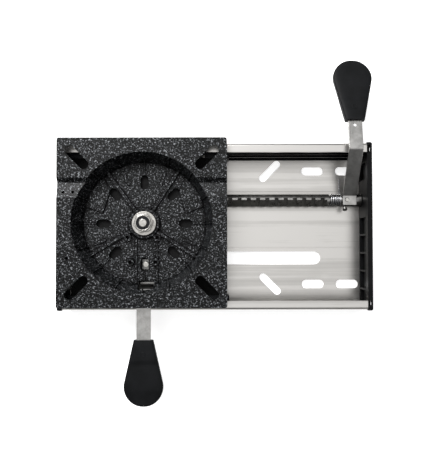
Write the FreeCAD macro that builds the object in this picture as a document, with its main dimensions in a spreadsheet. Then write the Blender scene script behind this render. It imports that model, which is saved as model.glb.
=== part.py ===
"""Seat slide with a swivel base: an extruded slide, a die-cast carriage and a swivel base.

Millimetres.  X runs along the slide, Y across it and Z up from the seat face.  The origin
is where the swivel axis crosses the seat face.  The mount lies on its seat face, so what is
up here is down when the mount carries a seat.
"""
import FreeCAD, Part
import math
import os
from types import SimpleNamespace

import Sketcher

os.makedirs("parts", exist_ok=True)
doc = FreeCAD.newDocument("seat_slide_swivel")
sheet = doc.addObject("Spreadsheet::Sheet", "Sizes")
Vector = FreeCAD.Vector

# name, millimetres (or a count), what it is
DRIVING = [
    ("slide_x", 76.0, "slide centre from the swivel axis, along X"),
    ("slide_y", -3.6, "slide centre from the swivel axis, along Y"),
    ("slide_length", 324.8, "extrusion between its end caps"),
    ("slide_width", 177.8, "extrusion across its rails"),
    ("plate", 3.6, "seat plate thickness"),
    ("rail_height", 37.8, "seat face to the top of the lips"),
    ("rail_wall", 3.2, "rail side wall"),
    ("rail_corner", 3.0, "outer corner radius of the rails"),
    ("lip_width", 9.7, "lip, from the outer face inwards"),
    ("lip_thick", 3.0, "lip thickness"),
    ("port_height", 5.4, "screw port block under each lip"),
    ("port_width", 5.9, "screw port block from the wall inwards"),
    ("port_bore", 1.6, "radius of the screw port"),
    ("line_upper", 40.1, "groove line on the plate, from the slide centre"),
    ("line_lower", -22.7, "second groove line on the plate"),
    ("line_width", 1.0, "width of the groove lines"),
    ("line_depth", 0.5, "depth of the groove lines"),
    ("row", 63.5, "slot rows each side of the slide centre"),
    ("slot_width", 9.5, "lengthwise slots"),
    ("slot_length", 24.6, "lengthwise slots, overall"),
    ("slot_inner", 110.0, "inner lengthwise slots from the slide centre"),
    ("slot_pitch", 38.1, "from an inner slot to an outer one"),
    ("diagonal_x", 62.0, "diagonal slots from the slide centre"),
    ("diagonal_width", 8.2, "diagonal slots"),
    ("diagonal_span", 22.3, "diagonal slots between end centres"),
    ("long_y", -34.2, "long slot from the slide centre"),
    ("long_width", 14.4, "long slot"),
    ("long_end", 111.3, "long slot, centre of its round end"),
    ("cap", 5.2, "end cap thickness"),
    ("cap_over", 0.6, "end cap beyond the extrusion, sides and top"),
    ("cap_cell", 3.4, "depth of the cells inside an end cap"),
    ("cap_cell_pitch", 19.7, "pitch of the cells"),
    ("cap_rib", 1.8, "ribs between the cells"),
    ("cap_corner", 2.0, "corner radius of an end cap"),
    ("notch_floor", 0.9, "cap wall that a cap screw clamps"),
    ("notch_depth", 2.6, "open notch that a cap screw head sits in"),
    ("notch_width", 8.4, "notch across"),
    ("port_y", 82.6, "cap screws from the slide centre"),
    ("port_z", 32.2, "cap screws above the seat face"),
    ("screw_head", 3.4, "cap screw head radius"),
    ("screw_head_tall", 2.1, "cap screw head height"),
    ("screw_shank", 1.45, "cap screw shank radius"),
    ("screw_long", 15.0, "cap screw shank length"),
    ("rod_y", 26.2, "lock rod axis from the swivel axis"),
    ("rod_z", 11.2, "lock rod axis above the seat face"),
    ("rod", 6.8, "lock rod radius"),
    ("rod_neck", 5.0, "lock rod neck radius, inside its spring"),
    ("neck_start", 202.0, "neck, left end"),
    ("neck_end", 217.5, "neck, right end"),
    ("journal", 4.0, "rod journal radius"),
    ("journal_long", 3.9, "rod journal length"),
    ("shoulder_gap", 0.8, "rod shoulder to the cap"),
    ("flat_end", 200.0, "right end of the rod's lengthwise flat"),
    ("flat_length", 258.0, "length of the flat"),
    ("flat_depth", 2.0, "depth of the flat"),
    ("tooth_depth", 4.0, "depth of the notches"),
    ("tooth_gap", 4.5, "notch width"),
    ("tooth_pitch", 10.16, "notch pitch"),
    ("tooth_last", 194.8, "centre of the last notch"),
    ("tooth_count", 25, "number of notches"),
    ("bush", 5.9, "rod bush outer radius"),
    ("bush_bore", 4.05, "rod bush bore radius"),
    ("bush_long", 3.4, "rod bush length"),
    ("wire", 0.8, "torsion spring wire radius"),
    ("coil", 6.55, "torsion spring mean radius"),
    ("coil_start", 203.6, "torsion spring, left end"),
    ("coil_pitch", 2.05, "torsion spring pitch"),
    ("coil_turns", 6, "torsion spring turns"),
    ("coil_leg", 24.0, "torsion spring leg along the plate"),
    ("lever_x", 224.4, "slide lever centre"),
    ("lever_width", 15.0, "slide lever strip width"),
    ("lever_thick", 2.5, "slide lever strip thickness"),
    ("lever_seat", 5.3, "flat on the rod that the lever sits on"),
    ("lever_foot", 20.5, "inner end of the slide lever"),
    ("lever_rise", 31.0, "where the slide lever leaves the rod"),
    ("lever_bend_y", 77.4, "slide lever bend"),
    ("lever_bend_z", 48.0, "slide lever bend"),
    ("lever_tip_y", 140.0, "strip end inside the paddle"),
    ("lever_tip_z", 35.8, "strip end inside the paddle"),
    ("lever_hole_y", 103.1, "small hole in the slide lever"),
    ("lever_hole", 1.7, "radius of the small holes in both levers"),
    ("clamp_x", 221.5, "clamp screw that holds the slide lever on the rod"),
    ("clamp_head", 3.4, "clamp screw head radius"),
    ("clamp_shank", 1.9, "clamp screw shank radius"),
    ("paddle", 70.0, "paddle length"),
    ("paddle_root", 20.8, "paddle width at its socket"),
    ("paddle_end", 20.9, "radius of the paddle's round end"),
    ("paddle_thick", 9.0, "paddle thickness"),
    ("paddle_edge", 3.0, "paddle edge radius"),
    ("socket_width", 15.6, "paddle socket"),
    ("socket_tall", 3.0, "paddle socket"),
    ("socket_deep", 34.0, "paddle socket"),
    ("slide_paddle_y", 108.0, "slide paddle starts here"),
    ("slide_paddle_z", 42.04, "slide paddle starts here"),
    ("rivet", 2.0, "paddle rivet radius"),
    ("rivet_y", 14.6, "paddle rivet from the socket end"),
    ("carriage_x", 3.5, "carriage centre from the swivel axis"),
    ("carriage_long", 167.0, "carriage plate along the slide"),
    ("carriage_half", 78.5, "carriage plate, half its width"),
    ("deck_low", 18.6, "carriage plate underside"),
    ("deck", 22.5, "carriage plate top"),
    ("rib_low", 8.0, "carriage ribs, lowest"),
    ("glide_x", 4.0, "glide centre from the swivel axis"),
    ("glide_long", 175.0, "glide length"),
    ("glide_in", 74.5, "glide inner face from the slide centre"),
    ("glide_gap", 0.4, "glide to rail"),
    ("glide_shelf", 25.5, "top of the glide's inner part"),
    ("glide_screw", 76.6, "glide screws from the slide centre"),
    ("bolt", 4.75, "pivot bolt radius"),
    ("bolt_head", 9.0, "pivot bolt head radius"),
    ("bolt_end", 42.8, "pivot bolt end above the seat face"),
    ("hub_bore", 8.06, "bore of the swivel base hub"),
    ("hub_bush", 8.0, "pivot bush outer radius"),
    ("hub_top", 31.5, "top of the hub"),
    ("washer", 13.0, "pivot washer radius"),
    ("washer_low", 31.6, "pivot washer underside"),
    ("washer_thick", 2.0, "pivot washer thickness"),
    ("thrust", 36.0, "thrust washer radius"),
    ("thrust_bore", 8.3, "thrust washer bore radius"),
    ("thrust_thick", 0.9, "thrust washer thickness"),
    ("nut_flat", 19.0, "pivot nut across flats"),
    ("nut_tall", 6.0, "pivot nut hexagon height"),
    ("base_half", 88.9, "swivel base, half its side"),
    ("base_face", 50.8, "mounting face above the seat face"),
    ("base_rim", 45.3, "underside of the swivel base rim"),
    ("base_corner", 2.5, "swivel base corner radius"),
    ("pan_mouth", 73.9, "pan radius at the mounting face"),
    ("pan_foot", 66.0, "pan radius at its floor"),
    ("pan_wall", 2.8, "pan wall"),
    ("pan_floor", 27.3, "pan floor top"),
    ("pan_under", 23.5, "pan floor underside"),
    ("corner_slot", 68.0, "corner slot centres"),
    ("corner_slot_width", 10.4, "corner slots"),
    ("corner_slot_span", 20.5, "corner slots between end centres"),
    ("lock_radius", 44.5, "lock slots from the swivel axis"),
    ("lock_slot_width", 9.0, "lock slots"),
    ("lock_slot_length", 15.5, "lock slots"),
    ("channel_top", 47.0, "face channel, upper edge"),
    ("channel_foot", 42.0, "face channel, foot of its slope"),
    ("channel_low", 26.0, "face channel, lower edge"),
    ("channel_depth", 4.0, "face channel depth"),
    ("swing_x", 1.0, "swivel lever centre"),
    ("swing_width", 15.0, "swivel lever strip width"),
    ("swing_thick", 2.4, "swivel lever strip thickness"),
    ("swing_in", 38.0, "inner end of the swivel lever"),
    ("swing_low", 12.0, "height of its inner part"),
    ("swing_knee", 68.5, "lower bend"),
    ("swing_elbow", 78.0, "upper bend"),
    ("swing_high", 41.0, "height of its outer part"),
    ("swing_tip", 152.0, "outer end, inside the paddle"),
    ("swing_paddle", 123.0, "swivel paddle starts here"),
    ("swing_paddle_z", 41.0, "swivel paddle mid height"),
    ("swing_hole", 88.0, "small hole in the swivel lever"),
    ("pivot_y", 73.7, "swivel lever pivot from the swivel axis"),
    ("pivot_z", 28.0, "swivel lever pivot height"),
    ("knuckle", 4.0, "swivel lever knuckle radius"),
    ("pivot_pin", 2.0, "swivel lever pivot pin radius"),
    ("lock_pin", 3.175, "swivel lock pin radius"),
    ("lock_pin_top", 23.0, "swivel lock pin tip height"),
]

for line_number, (name, value, _meaning) in enumerate(DRIVING, start=1):
    sheet.set(f"A{line_number}", name)
    sheet.set(f"B{line_number}", str(value))
    sheet.setAlias(f"B{line_number}", name)
doc.recompute()


class Size:
    """A length and the sheet expression that gives it."""

    def __init__(self, value, text):
        self.value = value
        self.text = text

    def __add__(self, other):
        other = as_size(other)
        return Size(self.value + other.value, f"({self.text} + {other.text})")

    def __radd__(self, other):
        return as_size(other) + self

    def __sub__(self, other):
        other = as_size(other)
        return Size(self.value - other.value, f"({self.text} - {other.text})")

    def __rsub__(self, other):
        return as_size(other) - self

    def __mul__(self, factor):
        return Size(self.value * factor, f"({self.text} * {factor})")

    def __rmul__(self, factor):
        return self * factor

    def __truediv__(self, factor):
        return Size(self.value / factor, f"({self.text} / {factor})")

    def __neg__(self):
        return self * -1


def as_size(value):
    if isinstance(value, Size):
        return value
    return Size(float(value), f"({float(value)})")


d = SimpleNamespace(**{name: Size(sheet.get(name), f"Sizes.{name}") for name, _v, _m in DRIVING})
nodes = []


def keep(item, label):
    """Name a finished sub-part and list it for export."""
    item.Label = label
    nodes.append(item)
    return item


def bind(item, prop, size):
    item.setExpression(prop, as_size(size).text)


def bind_place(item, x, y, z):
    for axis, size in zip("xyz", (x, y, z)):
        bind(item, f"Placement.Base.{axis}", size)


# ---- sketches -------------------------------------------------------------------------

def new_body(name, x=0, y=0, z=0):
    body = doc.addObject("PartDesign::Body", name)
    bind_place(body, x, y, z)
    return body


def new_sketch(body, role, height=0, turn=0):
    """A sketch on one of the body's origin planes, raised along the plane's normal."""
    sketch = body.newObject("Sketcher::SketchObject", "Sketch")
    plane = next(item for item in body.Origin.OriginFeatures if item.Role == role)
    sketch.AttachmentSupport = [(plane, "")]
    sketch.MapMode = "FlatFace"
    spin = FreeCAD.Rotation(Vector(0, 0, 1), turn)
    sketch.AttachmentOffset = FreeCAD.Placement(Vector(0, 0, as_size(height).value), spin)
    bind(sketch, "AttachmentOffset.Base.z", height)
    return sketch


def fix_point(sketch, item, vertex, x, y):
    for kind, size in (("DistanceX", as_size(x)), ("DistanceY", as_size(y))):
        index = sketch.addConstraint(Sketcher.Constraint(kind, -1, 1, item, vertex, size.value))
        sketch.setExpression(f"Constraints[{index}]", size.text)


def fix_radius(sketch, item, radius):
    index = sketch.addConstraint(Sketcher.Constraint("Radius", item, radius.value))
    sketch.setExpression(f"Constraints[{index}]", radius.text)


def outline(sketch, corners):
    """A closed outline of straight lines through corners."""
    points = [(as_size(x), as_size(y)) for x, y in corners]
    flat = [Vector(x.value, y.value, 0) for x, y in points]
    count = len(points)
    first = sketch.GeometryCount
    for index in range(count):
        sketch.addGeometry(Part.LineSegment(flat[index], flat[(index + 1) % count]), False)
    for index in range(count):
        after = first + (index + 1) % count
        sketch.addConstraint(Sketcher.Constraint("Coincident", first + index, 2, after, 1))
    for index, (x, y) in enumerate(points):
        fix_point(sketch, first + index, 1, x, y)


def rectangle(sketch, x0, x1, y0, y1):
    outline(sketch, [(x0, y0), (x1, y0), (x1, y1), (x0, y1)])


def circle(sketch, x, y, radius):
    x, y, radius = as_size(x), as_size(y), as_size(radius)
    centre = Vector(x.value, y.value, 0)
    item = sketch.addGeometry(Part.Circle(centre, Vector(0, 0, 1), radius.value), False)
    fix_point(sketch, item, 3, x, y)
    fix_radius(sketch, item, radius)


def slot(sketch, start, end, width):
    """A slot with round ends whose end centres are start and end."""
    (x0, y0), (x1, y1) = [(as_size(x), as_size(y)) for x, y in (start, end)]
    radius = as_size(width) / 2
    heading = math.atan2(y1.value - y0.value, x1.value - x0.value)
    side = Vector(-math.sin(heading), math.cos(heading), 0) * radius.value
    first = Vector(x0.value, y0.value, 0)
    last = Vector(x1.value, y1.value, 0)
    up = Vector(0, 0, 1)
    quarter = math.pi / 2
    left = Part.ArcOfCircle(Part.Circle(first, up, radius.value), heading + quarter,
                            heading + 3 * quarter)
    right = Part.ArcOfCircle(Part.Circle(last, up, radius.value), heading - quarter,
                             heading + quarter)
    base = sketch.GeometryCount
    sketch.addGeometry(left, False)
    sketch.addGeometry(Part.LineSegment(first - side, last - side), False)
    sketch.addGeometry(right, False)
    sketch.addGeometry(Part.LineSegment(last + side, first + side), False)
    for here, there in ((0, 1), (1, 2), (2, 3), (3, 0)):
        joint = Sketcher.Constraint("Tangent", base + here, 2, base + there, 1)
        sketch.addConstraint(joint)
    fix_point(sketch, base, 3, x0, y0)
    fix_point(sketch, base + 2, 3, x1, y1)
    fix_radius(sketch, base, radius)


def turned(x, y, degrees):
    """The point (x, y) turned about the origin."""
    angle = math.radians(degrees)
    x, y = as_size(x), as_size(y)
    return (x * math.cos(angle) - y * math.sin(angle), x * math.sin(angle) + y * math.cos(angle))


# ---- features -------------------------------------------------------------------------

def pad(body, sketch, length, both=False, back=False):
    feature = body.newObject("PartDesign::Pad", "Pad")
    feature.Profile = sketch
    bind(feature, "Length", length)
    feature.SideType = "Symmetric" if both else "One side"
    feature.Reversed = back
    return feature


def pocket(body, sketch, length=None, both=False, back=False):
    """Cut against the sketch's normal (with it when back is set), through all by default."""
    feature = body.newObject("PartDesign::Pocket", "Pocket")
    feature.Profile = sketch
    if length is None:
        feature.Type = "ThroughAll"
    else:
        bind(feature, "Length", length)
    feature.SideType = "Symmetric" if both else "One side"
    feature.Reversed = back
    return feature


def revolve(body, sketch, axis="V_Axis", cut=False):
    kind = "Groove" if cut else "Revolution"
    feature = body.newObject(f"PartDesign::{kind}", kind)
    feature.Profile = sketch
    feature.ReferenceAxis = (sketch, [axis])
    feature.Angle = 360
    return feature


def ring_of(body, feature, sketch, count):
    """Repeat a feature round the sketch's normal through the origin."""
    pattern = body.newObject("PartDesign::PolarPattern", "PolarPattern")
    pattern.Originals = [feature]
    pattern.Axis = (sketch, ["N_Axis"])
    pattern.Angle = 360
    pattern.Occurrences = count
    body.Tip = pattern
    return pattern


def block(body, x0, x1, y0, y1, z0, z1):
    """Add a box-shaped rib or boss."""
    sketch = new_sketch(body, "XY_Plane", z0)
    rectangle(sketch, x0, x1, y0, y1)
    return pad(body, sketch, as_size(z1) - z0)


def spoke(body, degrees, inner, outer, width, low, high):
    """Add a straight rib that points away from the Z axis."""
    sketch = new_sketch(body, "XY_Plane", low, degrees)
    rectangle(sketch, inner, outer, -as_size(width) / 2, as_size(width) / 2)
    return pad(body, sketch, as_size(high) - low)


def round_edges(body, wanted, radius):
    """Fillet the edges of the body that wanted(middle point, direction) picks."""
    doc.recompute()
    base = body.Tip
    names = []
    for number, edge in enumerate(base.Shape.Edges, start=1):
        middle = edge.valueAt((edge.FirstParameter + edge.LastParameter) / 2)
        start, end = edge.firstVertex().Point, edge.lastVertex().Point
        if wanted(middle, end - start):
            names.append(f"Edge{number}")
    if not names:
        raise RuntimeError(f"no edge to round on {body.Name}")
    feature = body.newObject("PartDesign::Fillet", "Fillet")
    feature.Base = (base, names)
    bind(feature, "Radius", radius)
    return feature


def close(one, other, tolerance=0.02):
    return abs(one - other) < tolerance


# ---- primitives -----------------------------------------------------------------------

TO_X = FreeCAD.Rotation(Vector(0, 1, 0), 90)
TO_Z = FreeCAD.Rotation()


def cylinder(radius, length, place, turn=TO_Z):
    item = doc.addObject("Part::Cylinder", "Cylinder")
    bind(item, "Radius", radius)
    bind(item, "Height", length)
    item.Placement = FreeCAD.Placement(Vector(), turn)
    bind_place(item, *place)
    return item


def join(items):
    fuse = doc.addObject("Part::MultiFuse", "Fuse")
    fuse.Shapes = items
    return fuse


def less(base, tool):
    cut = doc.addObject("Part::Cut", "Cut")
    cut.Base = base
    cut.Tool = tool
    return cut


def group(items):
    compound = doc.addObject("Part::Compound", "Group")
    compound.Links = items
    return compound


def ring(outer, inner, length, place, turn=TO_Z):
    return less(cylinder(outer, length, place, turn), cylinder(inner, length, place, turn))


def screw(head, tall, shank, long, place, turn):
    """A screw whose shank points along the turned Z axis from the seat of its head."""
    direction = turn.multVec(Vector(0, 0, 1))
    start = [as_size(size) - as_size(tall) * part for size, part in zip(place, direction)]
    return join([cylinder(head, tall, start, turn), cylinder(shank, long, place, turn)])


def coil_spring(radius, pitch, turns, wire, place, turn, leg=None):
    """A round-wire coil along the turned Z axis, with an optional straight leg at its start."""
    helix = doc.addObject("Part::Helix", "Helix")
    bind(helix, "Radius", radius)
    bind(helix, "Pitch", pitch)
    helix.setExpression("Height", f"{as_size(pitch).text} * {as_size(turns).text}")
    section = doc.addObject("Part::Circle", "WireSection")
    bind(section, "Radius", wire)
    section.Placement = FreeCAD.Placement(Vector(), FreeCAD.Rotation(Vector(1, 0, 0), 90))
    bind_place(section, radius, 0, 0)
    sweep = doc.addObject("Part::Sweep", "Coil")
    sweep.Sections = [section]
    sweep.Spine = (helix, [])
    sweep.Solid = True
    sweep.Frenet = True
    spring = sweep
    if leg is not None:
        straight = cylinder(wire, leg, (radius, 0, 0), FreeCAD.Rotation(Vector(1, 0, 0), 90))
        spring = join([sweep, straight])
    spring.Placement = FreeCAD.Placement(Vector(), turn)
    bind_place(spring, *place)
    return spring


# ---- seat slide extrusion -------------------------------------------------------------

HALF = d.slide_width / 2
END_X = d.slide_length / 2
LIP_IN = HALF - d.lip_width
WALL_IN = HALF - d.rail_wall
LIP_UNDER = d.rail_height - d.lip_thick
PORT_IN = WALL_IN - d.port_width
PORT_UNDER = LIP_UNDER - d.port_height


def groove_line(middle):
    """Corners of one groove line, from its upper side to its lower side."""
    high = middle + d.line_width / 2
    low = middle - d.line_width / 2
    floor = d.plate - d.line_depth
    return [(high, d.plate), (high, floor), (low, floor), (low, d.plate)]


def make_extrusion():
    body = new_body("slide_extrusion", d.slide_x, d.slide_y)
    right = [(HALF, 0), (HALF, d.rail_height), (LIP_IN, d.rail_height), (LIP_IN, LIP_UNDER),
             (PORT_IN, LIP_UNDER), (PORT_IN, PORT_UNDER), (WALL_IN, PORT_UNDER),
             (WALL_IN, d.plate)]
    left = [(-x, y) for x, y in reversed(right)]
    profile = new_sketch(body, "YZ_Plane")
    outline(profile, right + groove_line(d.line_upper) + groove_line(d.line_lower) + left)
    for side in (1, -1):
        circle(profile, d.port_y * side, d.port_z, d.port_bore)
    pad(body, profile, d.slide_length, both=True)

    holes = new_sketch(body, "XY_Plane", d.plate)
    reach = (d.slot_length - d.slot_width) / 2
    lean = d.diagonal_span * math.sqrt(0.5) / 2
    for end in (1, -1):
        for side in (1, -1):
            for middle in (d.slot_inner, d.slot_inner + d.slot_pitch):
                slot(holes, (middle * end - reach, d.row * side),
                     (middle * end + reach, d.row * side), d.slot_width)
            slot(holes, ((d.diagonal_x - lean) * end, (d.row - lean) * side),
                 ((d.diagonal_x + lean) * end, (d.row + lean) * side), d.diagonal_width)
    slot(holes, (-d.long_end, d.long_y), (d.long_end, d.long_y), d.long_width)
    pocket(body, holes)

    half = HALF.value
    round_edges(body, lambda m, _v: close(abs(m.y), half) and close(m.x, 0)
                and (close(m.z, 0) or close(m.z, d.rail_height.value)), d.rail_corner)
    return keep(body, "slide_extrusion")


# ---- end caps, with their screws and rod bushes ----------------------------------------

CELLS = (0, 1, 2, 3, 4, 7)      # cell places counted across the cap; the rod end fills 5 and 6


def make_end_cap(label, side):
    """An end cap; side is 1 at the lever end and -1 at the other."""
    body = new_body(label, d.slide_x + END_X * side, d.slide_y)
    inward = side > 0
    face = new_sketch(body, "YZ_Plane")
    wide = HALF + d.cap_over
    rectangle(face, -wide, wide, 0, d.rail_height + d.cap_over)
    pad(body, face, d.cap, back=not inward)

    cells = new_sketch(body, "YZ_Plane")
    room = (d.cap_cell_pitch - d.cap_rib) / 2
    for place in CELLS:
        middle = d.cap_cell_pitch * (place - 3.95)
        rectangle(cells, middle - room, middle + room, 6, 31)
    pocket(body, cells, d.cap_cell, back=inward)

    seat = new_sketch(body, "YZ_Plane")
    circle(seat, d.rod_y - d.slide_y, d.rod_z, d.bush + 0.05)
    pocket(body, seat, d.bush_long + 0.2, back=inward)

    notch = new_sketch(body, "YZ_Plane", d.notch_floor * side)
    for flank in (1, -1):
        middle = d.port_y * flank
        rectangle(notch, middle - d.notch_width / 2, middle + d.notch_width / 2,
                  27.4, d.rail_height + d.cap_over + 1)
    pocket(body, notch, d.notch_depth, back=inward)

    bores = new_sketch(body, "YZ_Plane")
    for flank in (1, -1):
        circle(bores, d.port_y * flank, d.port_z, d.screw_shank + 0.3)
    pocket(body, bores, d.cap, back=inward)
    access = new_sketch(body, "YZ_Plane", d.cap * side)
    for flank in (1, -1):
        circle(access, d.port_y * flank, d.port_z, d.screw_head + 0.3)
    pocket(body, access, d.cap - d.notch_floor, back=not inward)

    outer = d.cap.value * side
    round_edges(body, lambda m, v: close(m.x, outer) and (close(abs(v.z), abs(v.Length)))
                and close(abs(m.y), wide.value), d.cap_corner)
    return keep(body, label)


def make_end_cap_screws():
    screws = []
    for side in (1, -1):
        turn = FreeCAD.Rotation(Vector(0, 1, 0), -90 * side)
        seat_x = d.slide_x + (END_X + d.notch_floor) * side
        for flank in (1, -1):
            place = (seat_x, d.slide_y + d.port_y * flank, d.port_z)
            screws.append(screw(d.screw_head, d.screw_head_tall, d.screw_shank, d.screw_long,
                                place, turn))
    return keep(group(screws), "end_cap_screws")


def make_rod_bush(label, side):
    start = d.slide_x + END_X * side - (0 if side > 0 else d.bush_long)
    return keep(ring(d.bush, d.bush_bore, d.bush_long, (start, d.rod_y, d.rod_z), TO_X), label)


# ---- lock rod, its spring and its lever ------------------------------------------------

FLAT_FACES = 45       # degrees the flat leans from straight up, away from the lever


def make_lock_rod():
    body = new_body("lock_rod", 0, d.rod_y, d.rod_z)
    left = d.slide_x - END_X + d.shoulder_gap
    right = d.slide_x + END_X - d.shoulder_gap
    turning = new_sketch(body, "XZ_Plane")
    outline(turning, [
        (left - d.journal_long, 0), (left - d.journal_long, d.journal), (left, d.journal),
        (left, d.rod), (d.neck_start, d.rod), (d.neck_start, d.rod_neck),
        (d.neck_end, d.rod_neck), (d.neck_end, d.rod), (right, d.rod), (right, d.journal),
        (right + d.journal_long, d.journal), (right + d.journal_long, 0)])
    revolve(body, turning, "H_Axis")

    def chord(sketch, depth):
        """The part of the section that lies beyond a chord on the side of the flat."""
        low = d.rod - depth
        high = d.rod + 1
        corners = [(-d.rod, low), (d.rod, low), (d.rod, high), (-d.rod, high)]
        outline(sketch, [turned(x, y, FLAT_FACES) for x, y in corners])

    flat = new_sketch(body, "YZ_Plane", d.flat_end)
    chord(flat, d.flat_depth)
    pocket(body, flat, d.flat_length)
    notch = new_sketch(body, "YZ_Plane", d.tooth_last + d.tooth_gap / 2)
    chord(notch, d.tooth_depth)
    cut = pocket(body, notch, d.tooth_gap)
    row = body.newObject("PartDesign::LinearPattern", "Notches")
    row.Originals = [cut]
    row.Direction = (notch, ["N_Axis"])
    row.Reversed = True
    row.Occurrences = int(d.tooth_count.value)
    bind(row, "Length", d.tooth_pitch * (d.tooth_count.value - 1))
    body.Tip = row

    seat = new_sketch(body, "YZ_Plane", d.lever_x)
    rectangle(seat, -d.rod, d.rod, d.lever_seat, d.rod + 1)
    pocket(body, seat, d.lever_width + 0.4, both=True)
    bore = new_sketch(body, "XY_Plane", d.rod)
    circle(bore, d.clamp_x, 0, d.clamp_shank + 0.1)
    pocket(body, bore, d.rod * 2 - 1.5)
    return keep(body, "lock_rod")


def make_torsion_spring():
    start = d.coil_start + d.coil_pitch * d.coil_turns.value
    half_turn = FreeCAD.Rotation(Vector(0, 0, 1), 180)
    turn = FreeCAD.Rotation(Vector(0, -1, 0), 90) * half_turn
    spring = coil_spring(d.coil, d.coil_pitch, d.coil_turns, d.wire,
                         (start, d.rod_y, d.rod_z), turn, d.coil_leg)
    return keep(spring, "torsion_spring")


def strip(body, path, thickness, width):
    """A bent strip, seen along X: path is its centre line, thickness and width its section."""
    sketch = new_sketch(body, "YZ_Plane")
    points = [(as_size(y), as_size(z)) for y, z in path]
    flat = [Vector(y.value, z.value, 0) for y, z in points]
    half = thickness / 2
    centre = []
    for start, end in zip(flat, flat[1:]):
        centre.append(sketch.addGeometry(Part.LineSegment(start, end), True))
    for before, after in zip(centre, centre[1:]):
        sketch.addConstraint(Sketcher.Constraint("Coincident", before, 2, after, 1))
    for index, (y, z) in enumerate(points[:-1]):
        fix_point(sketch, centre[index], 1, y, z)
    fix_point(sketch, centre[-1], 2, *points[-1])

    sides = {}
    for sign in (1, -1):
        border = offset_path(flat, half.value * sign)
        sides[sign] = [sketch.addGeometry(Part.LineSegment(a, b), False)
                       for a, b in zip(border, border[1:])]
        for before, after in zip(sides[sign], sides[sign][1:]):
            sketch.addConstraint(Sketcher.Constraint("Coincident", before, 2, after, 1))
        for line, middle in zip(sides[sign], centre):
            sketch.addConstraint(Sketcher.Constraint("Parallel", line, middle))
            gap = Sketcher.Constraint("Distance", middle, 1, line, half.value)
            index = sketch.addConstraint(gap)
            sketch.setExpression(f"Constraints[{index}]", half.text)
    for vertex, place in ((1, 0), (2, -1)):
        upper, lower = sides[1][place], sides[-1][place]
        points_of = [sketch.getPoint(line, vertex) for line in (upper, lower)]
        end = sketch.addGeometry(Part.LineSegment(*points_of), False)
        sketch.addConstraint(Sketcher.Constraint("Coincident", end, 1, upper, vertex))
        sketch.addConstraint(Sketcher.Constraint("Coincident", end, 2, lower, vertex))
        sketch.addConstraint(Sketcher.Constraint("Perpendicular", end, centre[place]))
        sketch.addConstraint(Sketcher.Constraint("PointOnObject", centre[place], vertex, end))
    pad(body, sketch, width, both=True)


def offset_path(points, distance):
    """Points beside a path, mitred at its bends."""
    headings = [(b - a).normalize() for a, b in zip(points, points[1:])]
    normals = [Vector(-h.y, h.x, 0) for h in headings]
    result = [points[0] + normals[0] * distance]
    for point, before, after in zip(points[1:], normals, normals[1:]):
        middle = (before + after).normalize()
        result.append(point + middle * (distance / middle.dot(before)))
    result.append(points[-1] + normals[-1] * distance)
    return result


def round_bends(body, path, inner_radius, thickness):
    """Round the mitred bends of a strip, inside and outside."""
    flat = [Vector(as_size(y).value, as_size(z).value, 0) for y, z in path]
    for sign in (1, -1):
        border = offset_path(flat, thickness.value / 2 * sign)
        for index in range(1, len(flat) - 1):
            before = flat[index] - flat[index - 1]
            after = flat[index + 1] - flat[index]
            left_turn = before.cross(after).z > 0
            inside = left_turn == (sign > 0)
            radius = inner_radius if inside else inner_radius + thickness.value
            spot = border[index]
            round_edges(body, lambda m, v: close(m.y, spot.x, 0.05) and close(m.z, spot.y, 0.05)
                        and close(abs(v.x), v.Length), radius)


def make_slide_lever_arm():
    body = new_body("slide_lever_arm", d.lever_x)
    seat = d.rod_z + d.lever_seat + d.lever_thick / 2
    path = [(d.lever_foot, seat), (d.lever_rise, seat), (d.lever_bend_y, d.lever_bend_z),
            (d.lever_tip_y, d.lever_tip_z)]
    strip(body, path, d.lever_thick, d.lever_width)
    round_bends(body, path, 2.5, d.lever_thick)
    holes = new_sketch(body, "XY_Plane", d.base_face + 5)
    circle(holes, 0, d.lever_hole_y, d.lever_hole)
    circle(holes, d.clamp_x - d.lever_x, d.rod_y, d.clamp_shank + 0.2)
    circle(holes, 0, d.slide_paddle_y + d.rivet_y * 0.98, d.rivet + 0.4)
    pocket(body, holes)
    return keep(body, "slide_lever_arm")


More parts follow.
